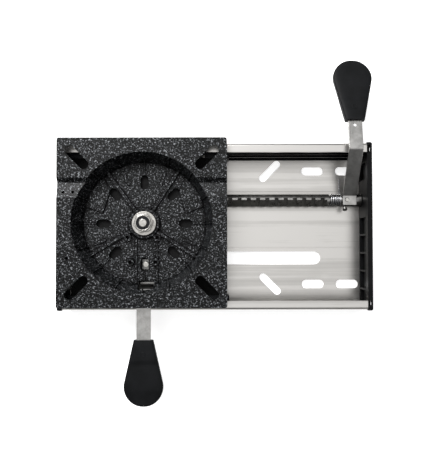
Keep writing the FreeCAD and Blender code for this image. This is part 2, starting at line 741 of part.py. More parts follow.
def make_paddle(label, place, turn):
    """A flat grip whose sides run from its socket, tangent to a round end."""
    body = new_body(label, *place)
    body.Placement = FreeCAD.Placement(body.Placement.Base, turn)
    bind_place(body, *place)
    sketch = new_sketch(body, "XY_Plane")
    half = d.paddle_root / 2
    middle = d.paddle - d.paddle_end
    reach = math.hypot(middle.value, half.value)
    lean = math.atan2(half.value, middle.value)
    touch = math.acos(d.paddle_end.value / reach) + lean
    angle = -math.pi / 2 + touch
    centre = Vector(0, middle.value, 0)
    arc = Part.ArcOfCircle(Part.Circle(centre, Vector(0, 0, 1), d.paddle_end.value),
                           angle, math.pi - angle)
    root_left = Vector(-half.value, 0, 0)
    root_right = Vector(half.value, 0, 0)
    end = sketch.addGeometry(arc, False)
    start_point, end_point = sketch.getPoint(end, 1), sketch.getPoint(end, 2)
    left = sketch.addGeometry(Part.LineSegment(end_point, root_left), False)
    root = sketch.addGeometry(Part.LineSegment(root_left, root_right), False)
    right = sketch.addGeometry(Part.LineSegment(root_right, start_point), False)
    sketch.addConstraint(Sketcher.Constraint("Tangent", end, 2, left, 1))
    sketch.addConstraint(Sketcher.Constraint("Coincident", left, 2, root, 1))
    sketch.addConstraint(Sketcher.Constraint("Coincident", root, 2, right, 1))
    sketch.addConstraint(Sketcher.Constraint("Tangent", right, 2, end, 1))
    fix_point(sketch, end, 3, 0, middle)
    fix_radius(sketch, end, d.paddle_end)
    fix_point(sketch, root, 1, -half, 0)
    fix_point(sketch, root, 2, half, 0)
    pad(body, sketch, d.paddle_thick, both=True)
    top = d.paddle_thick.value / 2
    round_edges(body, lambda m, v: close(abs(m.z), top) and m.y > 1, d.paddle_edge)
    mouth = new_sketch(body, "XZ_Plane")
    rectangle(mouth, -d.socket_width / 2, d.socket_width / 2, -d.socket_tall / 2,
              d.socket_tall / 2)
    pocket(body, mouth, d.socket_deep)
    bore = new_sketch(body, "XY_Plane", d.paddle_thick)
    circle(bore, 0, d.rivet_y, d.rivet + 0.1)
    pocket(body, bore)
    return keep(body, label)


def make_paddle_rivet(label, place, turn):
    """The rivet that pins a paddle to its strip, a little below both faces."""
    length = d.paddle_thick - 0.6
    along = turn.multVec(Vector(0, 1, 0))
    through = turn.multVec(Vector(0, 0, 1))
    start = [as_size(size) + d.rivet_y * a - length * (t / 2)
             for size, a, t in zip(place, along, through)]
    return keep(cylinder(d.rivet, length, start, turn), label)


def make_lever_clamp_screw():
    top = d.rod_z + d.lever_seat + d.lever_thick
    down = FreeCAD.Rotation(Vector(1, 0, 0), 180)
    item = screw(d.clamp_head, 2.4, d.clamp_shank, 12, (d.clamp_x, d.rod_y, top), down)
    return keep(item, "lever_clamp_screw")


def make_spring_anchor_screw():
    """The screw that the spring's far end hooks on, 30 degrees above level."""
    lean = math.radians(30)
    turn = FreeCAD.Rotation(Vector(1, 0, 0), -120)
    reach = 11.0
    place = (d.neck_end + 1.9, d.rod_y - reach * math.cos(lean), d.rod_z + reach * math.sin(lean))
    item = screw(2.6, 1.6, 1.2, 4.1, place, turn)
    return keep(item, "spring_anchor_screw")


# ---- carriage --------------------------------------------------------------------------

WINDOW = SimpleNamespace(half=9.5, low=77.5, high=63.5)
PIN_HOLE = SimpleNamespace(half=4.8, low=50.0, high=39.0)
TUNNEL = (13.4, 17.0, 36.0, 39.0)        # the two long ribs each side of the lock rod
GLIDE_SCREW_X = (-56.0, 64.0)
BRACKET_SCREW = (14.2, 74.0)


def make_carriage():
    body = new_body("carriage_casting")
    left = d.carriage_x - d.carriage_long / 2
    right = d.carriage_x + d.carriage_long / 2
    low = d.slide_y - d.carriage_half
    high = d.slide_y + d.carriage_half
    block(body, left, right, low, high, d.deck_low, d.deck)
    near_low, near_high, far_low, far_high = TUNNEL
    for y0, y1 in ((near_low, near_high), (far_low, far_high)):
        block(body, left, right, y0, y1, d.rib_low, d.deck)
    for x in (-60.0, -22.0, 26.0, 64.0):
        block(body, x - 1.6, x + 1.6, low + 6, near_high - 1, d.rib_low, d.deck)
        block(body, x - 1.6, x + 1.6, far_low + 1, high - 6, d.rib_low, d.deck)
    sketch = new_sketch(body, "XY_Plane", d.deck)
    circle(sketch, 0, 0, d.bolt + 0.1)
    rectangle(sketch, d.swing_x - WINDOW.half, d.swing_x + WINDOW.half, -WINDOW.low, -WINDOW.high)
    rectangle(sketch, d.swing_x - PIN_HOLE.half, d.swing_x + PIN_HOLE.half, -PIN_HOLE.low,
              -PIN_HOLE.high)
    for x in GLIDE_SCREW_X:
        for side in (1, -1):
            circle(sketch, x, d.slide_y + d.glide_screw * side, 1.6)
    for side in (1, -1):
        circle(sketch, d.swing_x + BRACKET_SCREW[0] * side, -BRACKET_SCREW[1], 1.5)
    pocket(body, sketch, d.deck - d.rib_low)
    bores = new_sketch(body, "XZ_Plane")
    for offset in (-6.0, 6.0):
        circle(bores, tooth_x() + offset, d.rod_z + 2.5, 1.5)
    pocket(body, bores, 50, both=True)
    return keep(body, "carriage_casting")


def tooth_x():
    """The notch that the carriage's lock tooth faces at the left end of the travel."""
    return d.tooth_last - d.tooth_pitch * 14


def make_glide(label, side):
    body = new_body(label, d.glide_x, d.slide_y)
    wall = WALL_IN - d.glide_gap
    low = d.plate + d.glide_gap
    high = PORT_UNDER - d.glide_gap
    port = PORT_IN + d.glide_gap
    groove = d.carriage_half + 0.1
    corners = [(d.glide_in, low), (wall, low), (wall, high), (port, high),
               (port, d.glide_shelf), (d.glide_in, d.glide_shelf), (d.glide_in, d.deck + 0.1),
               (groove, d.deck + 0.1), (groove, d.deck_low - 0.1),
               (d.glide_in, d.deck_low - 0.1)]
    profile = new_sketch(body, "YZ_Plane")
    outline(profile, [(x * side, y) for x, y in corners])
    pad(body, profile, d.glide_long, both=True)
    bores = new_sketch(body, "XY_Plane", d.glide_shelf)
    for x in GLIDE_SCREW_X:
        circle(bores, x - d.glide_x, d.glide_screw * side, 1.6)
    pocket(body, bores, 14)
    return keep(body, label)


def make_glide_screws():
    down = FreeCAD.Rotation(Vector(1, 0, 0), 180)
    items = [screw(2.3, 1.5, 1.45, 13, (x, d.slide_y + d.glide_screw * side, d.glide_shelf), down)
             for x in GLIDE_SCREW_X for side in (1, -1)]
    return keep(group(items), "glide_screws")


def make_pivot_bolt():
    body = new_body("pivot_bolt")
    profile = new_sketch(body, "XZ_Plane")
    head_low = d.deck_low - 4
    outline(profile, [(0, head_low), (d.bolt_head - 1.5, head_low), (d.bolt_head, head_low + 1.5),
                      (d.bolt_head, d.deck_low), (d.bolt, d.deck_low), (d.bolt, d.bolt_end - 0.8),
                      (d.bolt - 0.8, d.bolt_end), (0, d.bolt_end)])
    revolve(body, profile)
    return keep(body, "pivot_bolt")


def make_pivot_nut():
    """The locking nut: a hexagon with a round collar that holds a plastic ring."""
    body = new_body("pivot_nut")
    low = d.washer_low + d.washer_thick
    hexagon = new_sketch(body, "XY_Plane", low)
    across = d.nut_flat / math.sqrt(3)
    outline(hexagon, [turned(across, 0, 60 * number + 12) for number in range(6)])
    pad(body, hexagon, d.nut_tall)
    collar = new_sketch(body, "XY_Plane", low + d.nut_tall)
    circle(collar, 0, 0, 8.6)
    pad(body, collar, 2.0)
    bore = new_sketch(body, "XY_Plane", low + d.nut_tall + 2)
    circle(bore, 0, 0, d.bolt + 0.05)
    pocket(body, bore)
    recess = new_sketch(body, "XY_Plane", low + d.nut_tall + 2)
    circle(recess, 0, 0, 7.2)
    pocket(body, recess, 1.6)
    return keep(body, "pivot_nut")


def make_lock_tooth():
    """The tooth that drops into the rod's notches, on a plate against the tunnel rib."""
    body = new_body("lock_tooth")
    face = TUNNEL[1]
    middle = tooth_x()
    block(body, middle - 9, middle + 9, face, face + 1.2, d.rod_z - 2, d.rod_z + 6)
    block(body, middle - 1.9, middle + 1.9, face, d.rod_y - d.rod - 0.4, d.rod_z - 1.8,
          d.rod_z + 1.8)
    bores = new_sketch(body, "XZ_Plane")
    for offset in (-6.0, 6.0):
        circle(bores, middle + offset, d.rod_z + 2.5, 1.3)
    pocket(body, bores, 50, both=True)
    return keep(body, "lock_tooth")


def make_lock_tooth_screws():
    turn = FreeCAD.Rotation(Vector(1, 0, 0), -90)
    items = [screw(2.3, 1.5, 1.2, 4.6, (tooth_x() + offset, TUNNEL[0], d.rod_z + 2.5), turn)
             for offset in (-6.0, 6.0)]
    return keep(group(items), "lock_tooth_screws")


def make_lever_bracket():
    """Two ears and a web round the window, which carry the swivel lever's pivot pin."""
    body = new_body("lever_bracket", d.swing_x)
    ear_in, ear_out = 9.0, 10.8
    near, far, web = -71.0, -77.8, -76.6
    sketch = new_sketch(body, "XY_Plane", d.deck)
    outline(sketch, [(ear_in, near), (ear_out, near), (ear_out, far), (-ear_out, far),
                     (-ear_out, near), (-ear_in, near), (-ear_in, web), (ear_in, web)])
    pad(body, sketch, 2.0)
    for side in (1, -1):
        x0, x1 = sorted((ear_in * side, ear_out * side))
        block(body, x0, x1, far, near, d.deck, d.pivot_z + 4)
        x0, x1 = sorted(((ear_out - 0.5) * side, (ear_out + 6.6) * side))
        block(body, x0, x1, far, near, d.deck, d.deck + 1.6)
    bore = new_sketch(body, "YZ_Plane")
    circle(bore, -d.pivot_y, d.pivot_z, d.pivot_pin + 0.04)
    pocket(body, bore, 30, both=True)
    bores = new_sketch(body, "XY_Plane", d.deck + 3)
    for side in (1, -1):
        circle(bores, BRACKET_SCREW[0] * side, -BRACKET_SCREW[1], 1.5)
    pocket(body, bores)
    return keep(body, "lever_bracket")


def make_bracket_screws():
    down = FreeCAD.Rotation(Vector(1, 0, 0), 180)
    items = [screw(2.3, 1.5, 1.4, 7, (d.swing_x + BRACKET_SCREW[0] * side, -BRACKET_SCREW[1],
                                      d.deck + 1.6), down)
             for side in (1, -1)]
    return keep(group(items), "bracket_screws")


# ---- swivel base -----------------------------------------------------------------------

LONG_RIBS = (126, 57, 210, 327)             # degrees from +X
SHORT_RIBS = (112.5, 67.5, 202.5, 337.5)
PAD_CORNERS = [(44.5, 50.1), (37.5, 34.0), (45.2, 11.5), (65.0, 19.2), (58.5, 34.0),
               (52.0, 42.5)]
BOSSES = [(-18.0, -15.0), (13.7, -15.4), (-15.2, -41.7), (12.0, -41.7)]
CHANNEL_X = (-9.5, 14.5)


def pan_radius(height):
    """Inner radius of the pan's wall at a height."""
    slope = (d.pan_mouth.value - d.pan_foot.value) / (d.base_face.value - d.pan_floor.value)
    return d.pan_foot + (as_size(height) - d.pan_floor) * slope


def make_swivel_base():
    body = new_body("swivel_base")
    half = d.base_half
    block(body, -half, half, -half, half, d.base_rim, d.base_face)
    round_edges(body, lambda m, v: close(abs(v.z), v.Length), d.base_corner)
    shell = new_sketch(body, "XZ_Plane")
    outline(shell, [(0, d.pan_under), (pan_radius(d.pan_under) + d.pan_wall, d.pan_under),
                    (pan_radius(d.base_rim + 1) + d.pan_wall, d.base_rim + 1),
                    (0, d.base_rim + 1)])
    revolve(body, shell)
    hollow = new_sketch(body, "XZ_Plane")
    outline(hollow, [(0, d.hub_top), (16, d.hub_top), (17.5, d.pan_floor),
                     (d.pan_foot, d.pan_floor), (d.pan_mouth, d.base_face),
                     (d.pan_mouth, d.base_face + 1), (0, d.base_face + 1)])
    revolve(body, hollow, cut=True)
    add_pan_ribs(body)
    add_face_channel(body)
    cut_base_holes(body)
    return keep(body, "swivel_base")


def add_pan_ribs(body):
    """Ribs, pads and bosses that stand on the pan's floor and wall."""
    floor = d.pan_floor - 0.5
    for angle in LONG_RIBS:
        spoke(body, angle, 14, d.pan_foot + 1.5, 3.0, floor, d.pan_floor + 2.4)
    for angle in SHORT_RIBS:
        spoke(body, angle, 45, 60, 2.4, floor, d.pan_floor + 1.4)
    wall = new_sketch(body, "XZ_Plane")
    top = d.base_face - 1.2
    outline(wall, [(pan_radius(d.pan_floor) - 1.2, floor), (pan_radius(top) - 1.3, top),
                   (pan_radius(top) + 1, top), (pan_radius(d.pan_floor) + 1.0, floor)])
    nub = pad(body, wall, 1.6, both=True)
    axis = new_sketch(body, "XY_Plane")
    ring_of(body, nub, axis, 16)
    line = new_sketch(body, "XY_Plane", floor)
    rectangle(line, d.lock_radius + 5, d.pan_foot + 0.8, -0.8, 0.8)
    ring_of(body, pad(body, line, 1.6), line, 8)
    for side in (1, -1):
        sketch = new_sketch(body, "XY_Plane", floor)
        outline(sketch, [(x * side, y) for x, y in PAD_CORNERS])
        pad(body, sketch, 2.4)
    left, right = CHANNEL_X
    for x in (left, right - 1.6):
        block(body, x, x + 1.6, -64.0, -17.5, floor, d.pan_floor + 1.6)
    for x, y in BOSSES:
        sketch = new_sketch(body, "XY_Plane", floor)
        circle(sketch, x, y, 3.8)
        pad(body, sketch, 3.4)


def add_face_channel(body):
    """The shallow ramped channel that crosses the mounting face."""
    ramp = new_sketch(body, "YZ_Plane")
    face = d.base_face
    outline(ramp, [(d.channel_top, face), (d.channel_foot, face - d.channel_depth),
                   (d.channel_low, face - 0.6), (d.channel_low, face + 1),
                   (d.channel_top, face + 1)])
    pocket(body, ramp, d.base_half * 2 + 2, both=True)


def cut_base_holes(body):
    """Hub bore, lock slots, corner slots, boss bores and the lever window."""
    through = d.base_face + 1
    corner = new_sketch(body, "XY_Plane", through, 45)
    reach = d.corner_slot * math.sqrt(2)
    slot(corner, (reach - d.corner_slot_span / 2, 0), (reach + d.corner_slot_span / 2, 0),
         d.corner_slot_width)
    ring_of(body, pocket(body, corner), corner, 4)
    lock = new_sketch(body, "XY_Plane", through)
    half = (d.lock_slot_length - d.lock_slot_width) / 2
    slot(lock, (d.lock_radius - half, 0), (d.lock_radius + half, 0), d.lock_slot_width)
    ring_of(body, pocket(body, lock), lock, 8)
    hub = new_sketch(body, "XY_Plane", through)
    circle(hub, 0, 0, d.hub_bore)
    pocket(body, hub)
    blind = new_sketch(body, "XY_Plane", d.pan_floor + 4)
    for x, y in BOSSES:
        circle(blind, x, y, 2.0)
    pocket(body, blind, 5.5)
    small = new_sketch(body, "XY_Plane", through)
    for x, y in ((-82.3, 31.8), (-72.1, 31.8), (-77.9, -37.1)):
        circle(small, x, y, 1.5)
    pocket(body, small, 6.0)
    window = new_sketch(body, "XY_Plane", d.base_rim - 4)
    rectangle(window, -6.5, 10.5, -78, -61.5)
    pocket(body, window)


# ---- swivel lever ----------------------------------------------------------------------

def make_swivel_lever_arm():
    body = new_body("swivel_lever_arm", d.swing_x)
    path = [(-d.swing_tip, d.swing_high), (-d.swing_elbow, d.swing_high),
            (-d.swing_knee, d.swing_low), (-d.swing_in, d.swing_low)]
    strip(body, path, d.swing_thick, d.swing_width)
    round_bends(body, path, 3.5, d.swing_thick)
    knuckle = new_sketch(body, "YZ_Plane")
    circle(knuckle, -d.pivot_y, d.pivot_z, d.knuckle)
    pad(body, knuckle, 9.6, both=True)
    bore = new_sketch(body, "YZ_Plane")
    circle(bore, -d.pivot_y, d.pivot_z, d.pivot_pin + 0.05)
    pocket(body, bore, 30, both=True)
    holes = new_sketch(body, "XY_Plane", d.base_face)
    circle(holes, 0, -d.lock_radius, d.lock_pin + 0.05)
    circle(holes, 0, -d.swing_hole, d.lever_hole)
    circle(holes, 0, -d.swing_paddle - d.rivet_y, d.rivet + 0.1)
    pocket(body, holes)
    notch = new_sketch(body, "XY_Plane", d.pivot_z + 4.4)
    rectangle(notch, 4.9, d.swing_width / 2 + 1, -d.pivot_y - 6, -d.pivot_y + 6)
    pocket(body, notch, 8.8)
    return keep(body, "swivel_lever_arm")


def make_swivel_lock_pin():
    low = d.swing_low - d.swing_thick / 2 - 0.6
    pin = cylinder(d.lock_pin, d.lock_pin_top - low, (d.swing_x, -d.lock_radius, low))
    foot = cylinder(d.lock_pin + 1.4, 1.4, (d.swing_x, -d.lock_radius, low - 0.8))
    return keep(join([pin, foot]), "swivel_lock_pin")


def make_all():
    make_extrusion()
    for label, side in (("end_cap_right", 1), ("end_cap_left", -1)):
        make_end_cap(label, side)
    make_end_cap_screws()
    for label, side in (("rod_bush_right", 1), ("rod_bush_left", -1)):
        make_rod_bush(label, side)
    make_torsion_spring()

    make_lock_rod()
    make_slide_lever_arm()
    drop = d.lever_bend_z.value - d.lever_tip_z.value
    slope = math.degrees(math.atan2(drop, d.lever_tip_y.value - d.lever_bend_y.value))
    tilt = FreeCAD.Rotation(Vector(1, 0, 0), -slope)
    place = (d.lever_x, d.slide_paddle_y, d.slide_paddle_z)
    make_paddle("slide_lever_paddle", place, tilt)
    make_paddle_rivet("slide_paddle_rivet", place, tilt)
    make_lever_clamp_screw()
    make_spring_anchor_screw()

    make_carriage()
    for label, side in (("glide_upper", 1), ("glide_lower", -1)):
        make_glide(label, side)
    make_glide_screws()
    make_pivot_bolt()
    keep(ring(d.hub_bush, d.bolt + 0.05, d.washer_low - d.deck, (0, 0, d.deck)), "pivot_bush")
    keep(ring(d.thrust, d.thrust_bore, d.thrust_thick, (0, 0, d.deck)), "thrust_washer")
    keep(ring(d.washer, d.bolt + 0.1, d.washer_thick, (0, 0, d.washer_low)), "pivot_washer")
    make_pivot_nut()
    insert_low = d.washer_low + d.washer_thick + d.nut_tall + 0.4
    keep(ring(7.15, d.bolt + 0.02, 1.4, (0, 0, insert_low)), "nut_insert")
    make_lock_tooth()
    make_lock_tooth_screws()
    make_lever_bracket()
    make_bracket_screws()
    pin_start = (d.swing_x - 11.6, -d.pivot_y, d.pivot_z)
    keep(cylinder(d.pivot_pin, 23.2, pin_start, TO_X), "lever_pivot_pin")
    keep(coil_spring(3.2, 1.0, 3, 0.4, (d.swing_x + 5.4, -d.pivot_y, d.pivot_z), TO_X),
         "swivel_lever_spring")

    make_swivel_base()

    make_swivel_lever_arm()
    half_turn = FreeCAD.Rotation(Vector(0, 0, 1), 180)
    place = (d.swing_x, -d.swing_paddle, d.swing_paddle_z)
    make_paddle("swivel_lever_paddle", place, half_turn)
    make_paddle_rivet("swivel_paddle_rivet", place, half_turn)
    make_swivel_lock_pin()


def check_and_write():
    for item in doc.Objects:
        if "Invalid" in item.State or "Error" in item.State:
            raise RuntimeError(f"{item.Name} ({item.Label}) failed: {item.State}")
    for node in nodes:
        shape = node.Shape
        if shape.isNull() or not shape.isValid():
            raise RuntimeError(f"{node.Label} has no valid shape")
        shape.exportStep(f"parts/{node.Label}.step")
        box = shape.BoundBox
        print(f"{node.Label:22s} solids {len(shape.Solids)} volume {shape.Volume:11.1f}  "
              f"X {box.XMin:7.1f} {box.XMax:7.1f}  Y {box.YMin:7.1f} {box.YMax:7.1f}  "
              f"Z {box.ZMin:6.1f} {box.ZMax:6.1f}")


make_all()
doc.recompute()
check_and_write()
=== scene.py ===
"""Looks of a seat slide and swivel mount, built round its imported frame.

Everything is in metres and in the frame's axes: +X along the slide, +Y across it towards
the slide lever's grip, and +Z from the seat face up to the pedestal mounting face.
"""
import logging
import math
from collections.abc import Callable
from dataclasses import dataclass, field
from enum import Enum

import bmesh
import bpy
from mathutils import Matrix, Vector


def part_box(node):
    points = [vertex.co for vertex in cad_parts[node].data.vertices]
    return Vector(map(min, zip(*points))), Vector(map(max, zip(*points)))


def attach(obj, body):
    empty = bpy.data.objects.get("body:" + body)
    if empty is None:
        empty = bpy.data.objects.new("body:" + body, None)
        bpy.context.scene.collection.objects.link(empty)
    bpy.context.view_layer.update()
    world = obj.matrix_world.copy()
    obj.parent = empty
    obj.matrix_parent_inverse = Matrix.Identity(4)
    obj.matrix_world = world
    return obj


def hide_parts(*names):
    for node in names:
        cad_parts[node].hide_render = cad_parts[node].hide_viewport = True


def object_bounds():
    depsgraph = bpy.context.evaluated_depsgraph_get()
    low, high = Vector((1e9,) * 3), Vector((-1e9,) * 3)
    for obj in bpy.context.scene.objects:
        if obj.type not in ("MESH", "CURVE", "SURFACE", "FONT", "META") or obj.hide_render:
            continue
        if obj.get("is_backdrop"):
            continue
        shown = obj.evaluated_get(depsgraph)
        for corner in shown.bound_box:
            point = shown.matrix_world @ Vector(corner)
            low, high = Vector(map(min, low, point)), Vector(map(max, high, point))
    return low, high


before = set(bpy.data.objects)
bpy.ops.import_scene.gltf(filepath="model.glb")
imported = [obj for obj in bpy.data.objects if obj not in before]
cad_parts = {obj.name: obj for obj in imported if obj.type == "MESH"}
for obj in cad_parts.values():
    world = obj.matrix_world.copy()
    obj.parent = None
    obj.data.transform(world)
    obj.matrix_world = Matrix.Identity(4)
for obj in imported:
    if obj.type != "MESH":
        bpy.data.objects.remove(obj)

LOG = logging.getLogger("seat_mount")
MM = 0.001
MERGE_GAP = 0.002 * MM
ALONG = Vector((1, 0, 0))
UP = Vector((0, 0, 1))
OUT = Vector((0, -1, 0))


class Body(Enum):
    """The rigid bodies that pieces ride on."""

    SLIDE = "slide"
    LEVER = "lock_rod_and_lever"
    CARRIAGE = "carriage"
    SWIVEL = "swivel"
    SWIVEL_LEVER = "swivel_lever"


class Slot(Enum):
    """The record's material slots."""

    ALUMINIUM = "aluminium_extruded"
    COAT = "powder_coat"
    NYLON = "black_nylon"
    ZINC = "zinc_steel"
    BRIGHT = "bright_zinc"
    SPRING = "spring_steel"
    PADDLE = "paddle_plastic"
    ACETAL = "acetal"


# ---- materials --------------------------------------------------------------------------

def linear(hex_colour: str) -> tuple[float, float, float, float]:
    """Turn an sRGB hex colour into linear RGBA.

    Args:
        hex_colour: six hex digits, such as "c9c9cb".

    Returns:
        Red, green, blue and alpha, linear.
    """
    parts = [int(hex_colour[i:i + 2], 16) / 255 for i in (0, 2, 4)]
    low = [c / 12.92 if c <= 0.04045 else ((c + 0.055) / 1.055) ** 2.4 for c in parts]
    return (*low, 1.0)


def add(tree: bpy.types.NodeTree, kind: str, values: dict | None = None,
        links: dict | None = None, **settings) -> bpy.types.Node:
    """Add one node, set its properties and inputs, and link its inputs.

    Args:
        tree: the node tree.
        kind: the node's type name.
        values: input name or index to a constant.
        links: input name or index to an output socket.
        settings: node properties.

    Returns:
        The new node.
    """
    node = tree.nodes.new(kind)
    for name, value in settings.items():
        setattr(node, name, value)
    for name, value in (values or {}).items():
        node.inputs[name].default_value = value
    for name, socket in (links or {}).items():
        tree.links.new(socket, node.inputs[name])
    return node


def ramp(tree: bpy.types.NodeTree, source: bpy.types.NodeSocket,
         stops: list[tuple[float, str]]) -> bpy.types.NodeSocket:
    """Add a colour ramp.

    Args:
        tree: the node tree.
        source: the value that drives the ramp.
        stops: positions, 0 to 1, and their sRGB hex colours.

    Returns:
        The ramp's colour.
    """
    node = add(tree, "ShaderNodeValToRGB", links={"Fac": source})
    elements = node.color_ramp.elements
    while len(elements) < len(stops):
        elements.new(0.5)
    for element, (place, colour) in zip(elements, stops):
        element.position = place
        element.color = linear(colour)
    return node.outputs["Color"]


@dataclass(frozen=True)
class Finish:
    """A surface finish that builds one material.

    Pattern sizes are in millimetres.
    """

    name: str
    slot: Slot
    metallic: float = 0.0

    def material(self) -> bpy.types.Material:
        """Return the material, made on first use."""
        known = bpy.data.materials.get(self.name)
        if known:
            return known
        material = bpy.data.materials.new(self.name)
        material.use_nodes = True
        tree = material.node_tree
        tree.nodes.clear()
        shader = add(tree, "ShaderNodeBsdfPrincipled", {"Metallic": self.metallic})
        add(tree, "ShaderNodeOutputMaterial", links={"Surface": shader.outputs["BSDF"]})
        place = add(tree, "ShaderNodeTexCoord").outputs["Object"]
        self.dress(tree, shader, place)
        return material

    def dress(self, tree: bpy.types.NodeTree, shader: bpy.types.Node,
              place: bpy.types.NodeSocket) -> None:
        """Add the finish's own nodes.

        Args:
            tree: the material's node tree.
            shader: its main shader node.
            place: the Object coordinates.
        """
        raise NotImplementedError

    def noise(self, tree: bpy.types.NodeTree, place: bpy.types.NodeSocket, grain: float,
              stretch: tuple[float, float, float] = (1, 1, 1), detail: float = 2.0,
              rough: float = 0.5) -> bpy.types.NodeSocket:
        """Add noise whose grain is in millimetres.

        Args:
            tree: the material's node tree.
            place: the coordinates that it follows.
            grain: size of a grain, in millimetres.
            stretch: how far the grain is drawn out along X, Y and Z.
            detail: how many finer layers it has.
            rough: how strong those layers are.

        Returns:
            The noise's value.
        """
        spread = add(tree, "ShaderNodeMapping", {"Scale": [1 / s for s in stretch]},
                     {"Vector": place})
        node = add(tree, "ShaderNodeTexNoise",
                   {"Scale": 1 / (grain * MM), "Detail": detail, "Roughness": rough},
                   {"Vector": spread.outputs["Vector"]})
        return node.outputs["Fac"]

    def bump(self, tree: bpy.types.NodeTree, shader: bpy.types.Node,
             height: bpy.types.NodeSocket, depth: float, strength: float) -> None:
        """Add a bump and wire it to the shader.

        Args:
            tree: the material's node tree.
            shader: the shader that gets the bump.
            height: the pattern that raises it.
            depth: how deep it is, in millimetres.
            strength: how strongly it shows, 0 to 1.
        """
        node = add(tree, "ShaderNodeBump", {"Distance": depth * MM, "Strength": strength},
                   {"Height": height})
        tree.links.new(node.outputs["Normal"], shader.inputs["Normal"])

    def roughness(self, tree: bpy.types.NodeTree, shader: bpy.types.Node,
                  source: bpy.types.NodeSocket, low: float, high: float) -> None:
        """Vary the roughness.

        Args:
            tree: the material's node tree.
            shader: the shader that gets it.
            source: the pattern that drives it, 0 to 1.
            low: roughness where the pattern is 0.
            high: roughness where the pattern is 1.
        """
        node = add(tree, "ShaderNodeMapRange", {"To Min": low, "To Max": high},
                   {"Value": source})
        tree.links.new(node.outputs["Result"], shader.inputs["Roughness"])


@dataclass(frozen=True)
class HammertoneCoat(Finish):
    """Black hammertone powder coat, sprayed on and baked.

    Grey flakes float in dimples about 2 mm across, and shade is painted into recesses: ambient
    occlusion darkens the colour and lowers the specular there.
    """

    cell: float = 2.3
    flake: float = 1.25
    flake_share: float = 0.72
    cell_share: float = 0.28
    painted_shade_reach: float = 5.0
    top_specular: float = 0.13

    def dress(self, tree: bpy.types.NodeTree, shader: bpy.types.Node,
              place: bpy.types.NodeSocket) -> None:
        """Mix dark resin with grey flakes, over a dimpled skin, with shade painted into
        recesses.

        Args:
            tree: the material's node tree.
            shader: its main shader node.
            place: the Object coordinates.
        """
        flakes = self.noise(tree, place, self.flake, detail=3.0, rough=0.62)
        cells = self.noise(tree, place, self.cell, detail=1.0)
        mixed = add(tree, "ShaderNodeMath", operation="MULTIPLY_ADD",
                    values={1: self.flake_share}, links={0: flakes})
        scaled = add(tree, "ShaderNodeMath", operation="MULTIPLY",
                     values={1: self.cell_share}, links={0: cells})
        tree.links.new(scaled.outputs[0], mixed.inputs[2])
        colour = ramp(tree, mixed.outputs[0], [(0.43, "010101"), (0.51, "080909"),
                                               (0.57, "2f3133"), (0.635, "85878a")])
        # painted shade: ambient occlusion darkens the coat's colour in recesses and beside
        # ribs, and lowers its specular there
        painted_shade_ao = add(tree, "ShaderNodeAmbientOcclusion", {"Distance": self.painted_shade_reach * MM},
                     {"Color": colour}, samples=8)
        depth = ramp(tree, painted_shade_ao.outputs["AO"], [(0.52, "000000"), (0.95, "ffffff")])
        shaded = add(tree, "ShaderNodeMix", {0: 1.0}, {6: colour, 7: depth},
                     data_type="RGBA", blend_type="MULTIPLY")
        tree.links.new(shaded.outputs[2], shader.inputs["Base Color"])
        level = add(tree, "ShaderNodeMapRange", {"To Max": self.top_specular},
                    {"Value": depth})
        tree.links.new(level.outputs[0], shader.inputs["Specular IOR Level"])
        self.roughness(tree, shader, cells, 0.34, 0.56)
        shader.inputs["Coat Weight"].default_value = 0.05
        shader.inputs["Coat Roughness"].default_value = 0.22
        self.bump(tree, shader, mixed.outputs[0], 0.7, 0.6)


@dataclass(frozen=True)
class SatinCoat(Finish):
    """Plain satin black coat on the die-cast carriage, with a slight orange peel; its
    near-black colour and low specular also paint the shade seen through the base's slots over
    it.
    """

    peel: float = 1.8
    speck: float = 0.8

    def dress(self, tree: bpy.types.NodeTree, shader: bpy.types.Node,
              place: bpy.types.NodeSocket) -> None:
        """Add orange peel and a faint dusting of lighter specks.

        Args:
            tree: the material's node tree.
            shader: its main shader node.
            place: the Object coordinates.
        """
        peel = self.noise(tree, place, self.peel, detail=1.0)
        specks = self.noise(tree, place, self.speck, detail=2.0)
        # black coat, taken darker than the lit casting: painted shade for the base's slots
        # above the carriage
        colour = ramp(tree, specks, [(0.45, "030303"), (0.72, "0f1011")])
        tree.links.new(colour, shader.inputs["Base Color"])
        self.roughness(tree, shader, peel, 0.55, 0.72)
        shader.inputs["Specular IOR Level"].default_value = 0.12
        self.bump(tree, shader, peel, 0.25, 0.5)


@dataclass(frozen=True)
class ExtrudedAluminium(Finish):
    """Mill-finish extrusion: pale grey with die lines that run along X."""

    line: float = 0.7
    band: float = 9.0
    smudge: float = 26.0

    def dress(self, tree: bpy.types.NodeTree, shader: bpy.types.Node,
              place: bpy.types.NodeSocket) -> None:
        """Draw die lines and faint handling marks.

        Args:
            tree: the material's node tree.
            shader: its main shader node.
            place: the Object coordinates.
        """
        lines = self.noise(tree, place, self.line, (160, 1, 1), detail=4.0, rough=0.6)
        bands = self.noise(tree, place, self.band, (60, 1, 1), detail=1.0)
        smudge = self.noise(tree, place, self.smudge, (1.6, 1, 1), detail=3.0)
        total = add(tree, "ShaderNodeMath", operation="MULTIPLY_ADD", values={1: 0.6},
                    links={0: lines, 2: bands})
        rest = add(tree, "ShaderNodeMath", operation="MULTIPLY_ADD", values={1: 0.3},
                   links={0: smudge, 2: total.outputs[0]})
        colour = ramp(tree, rest.outputs[0], [(0.72, "a2a09d"), (0.95, "adaba8"),
                                              (1.0, "b7b5b2")])
        tree.links.new(colour, shader.inputs["Base Color"])
        self.roughness(tree, shader, lines, 0.26, 0.34)
        self.bump(tree, shader, lines, 0.05, 0.5)


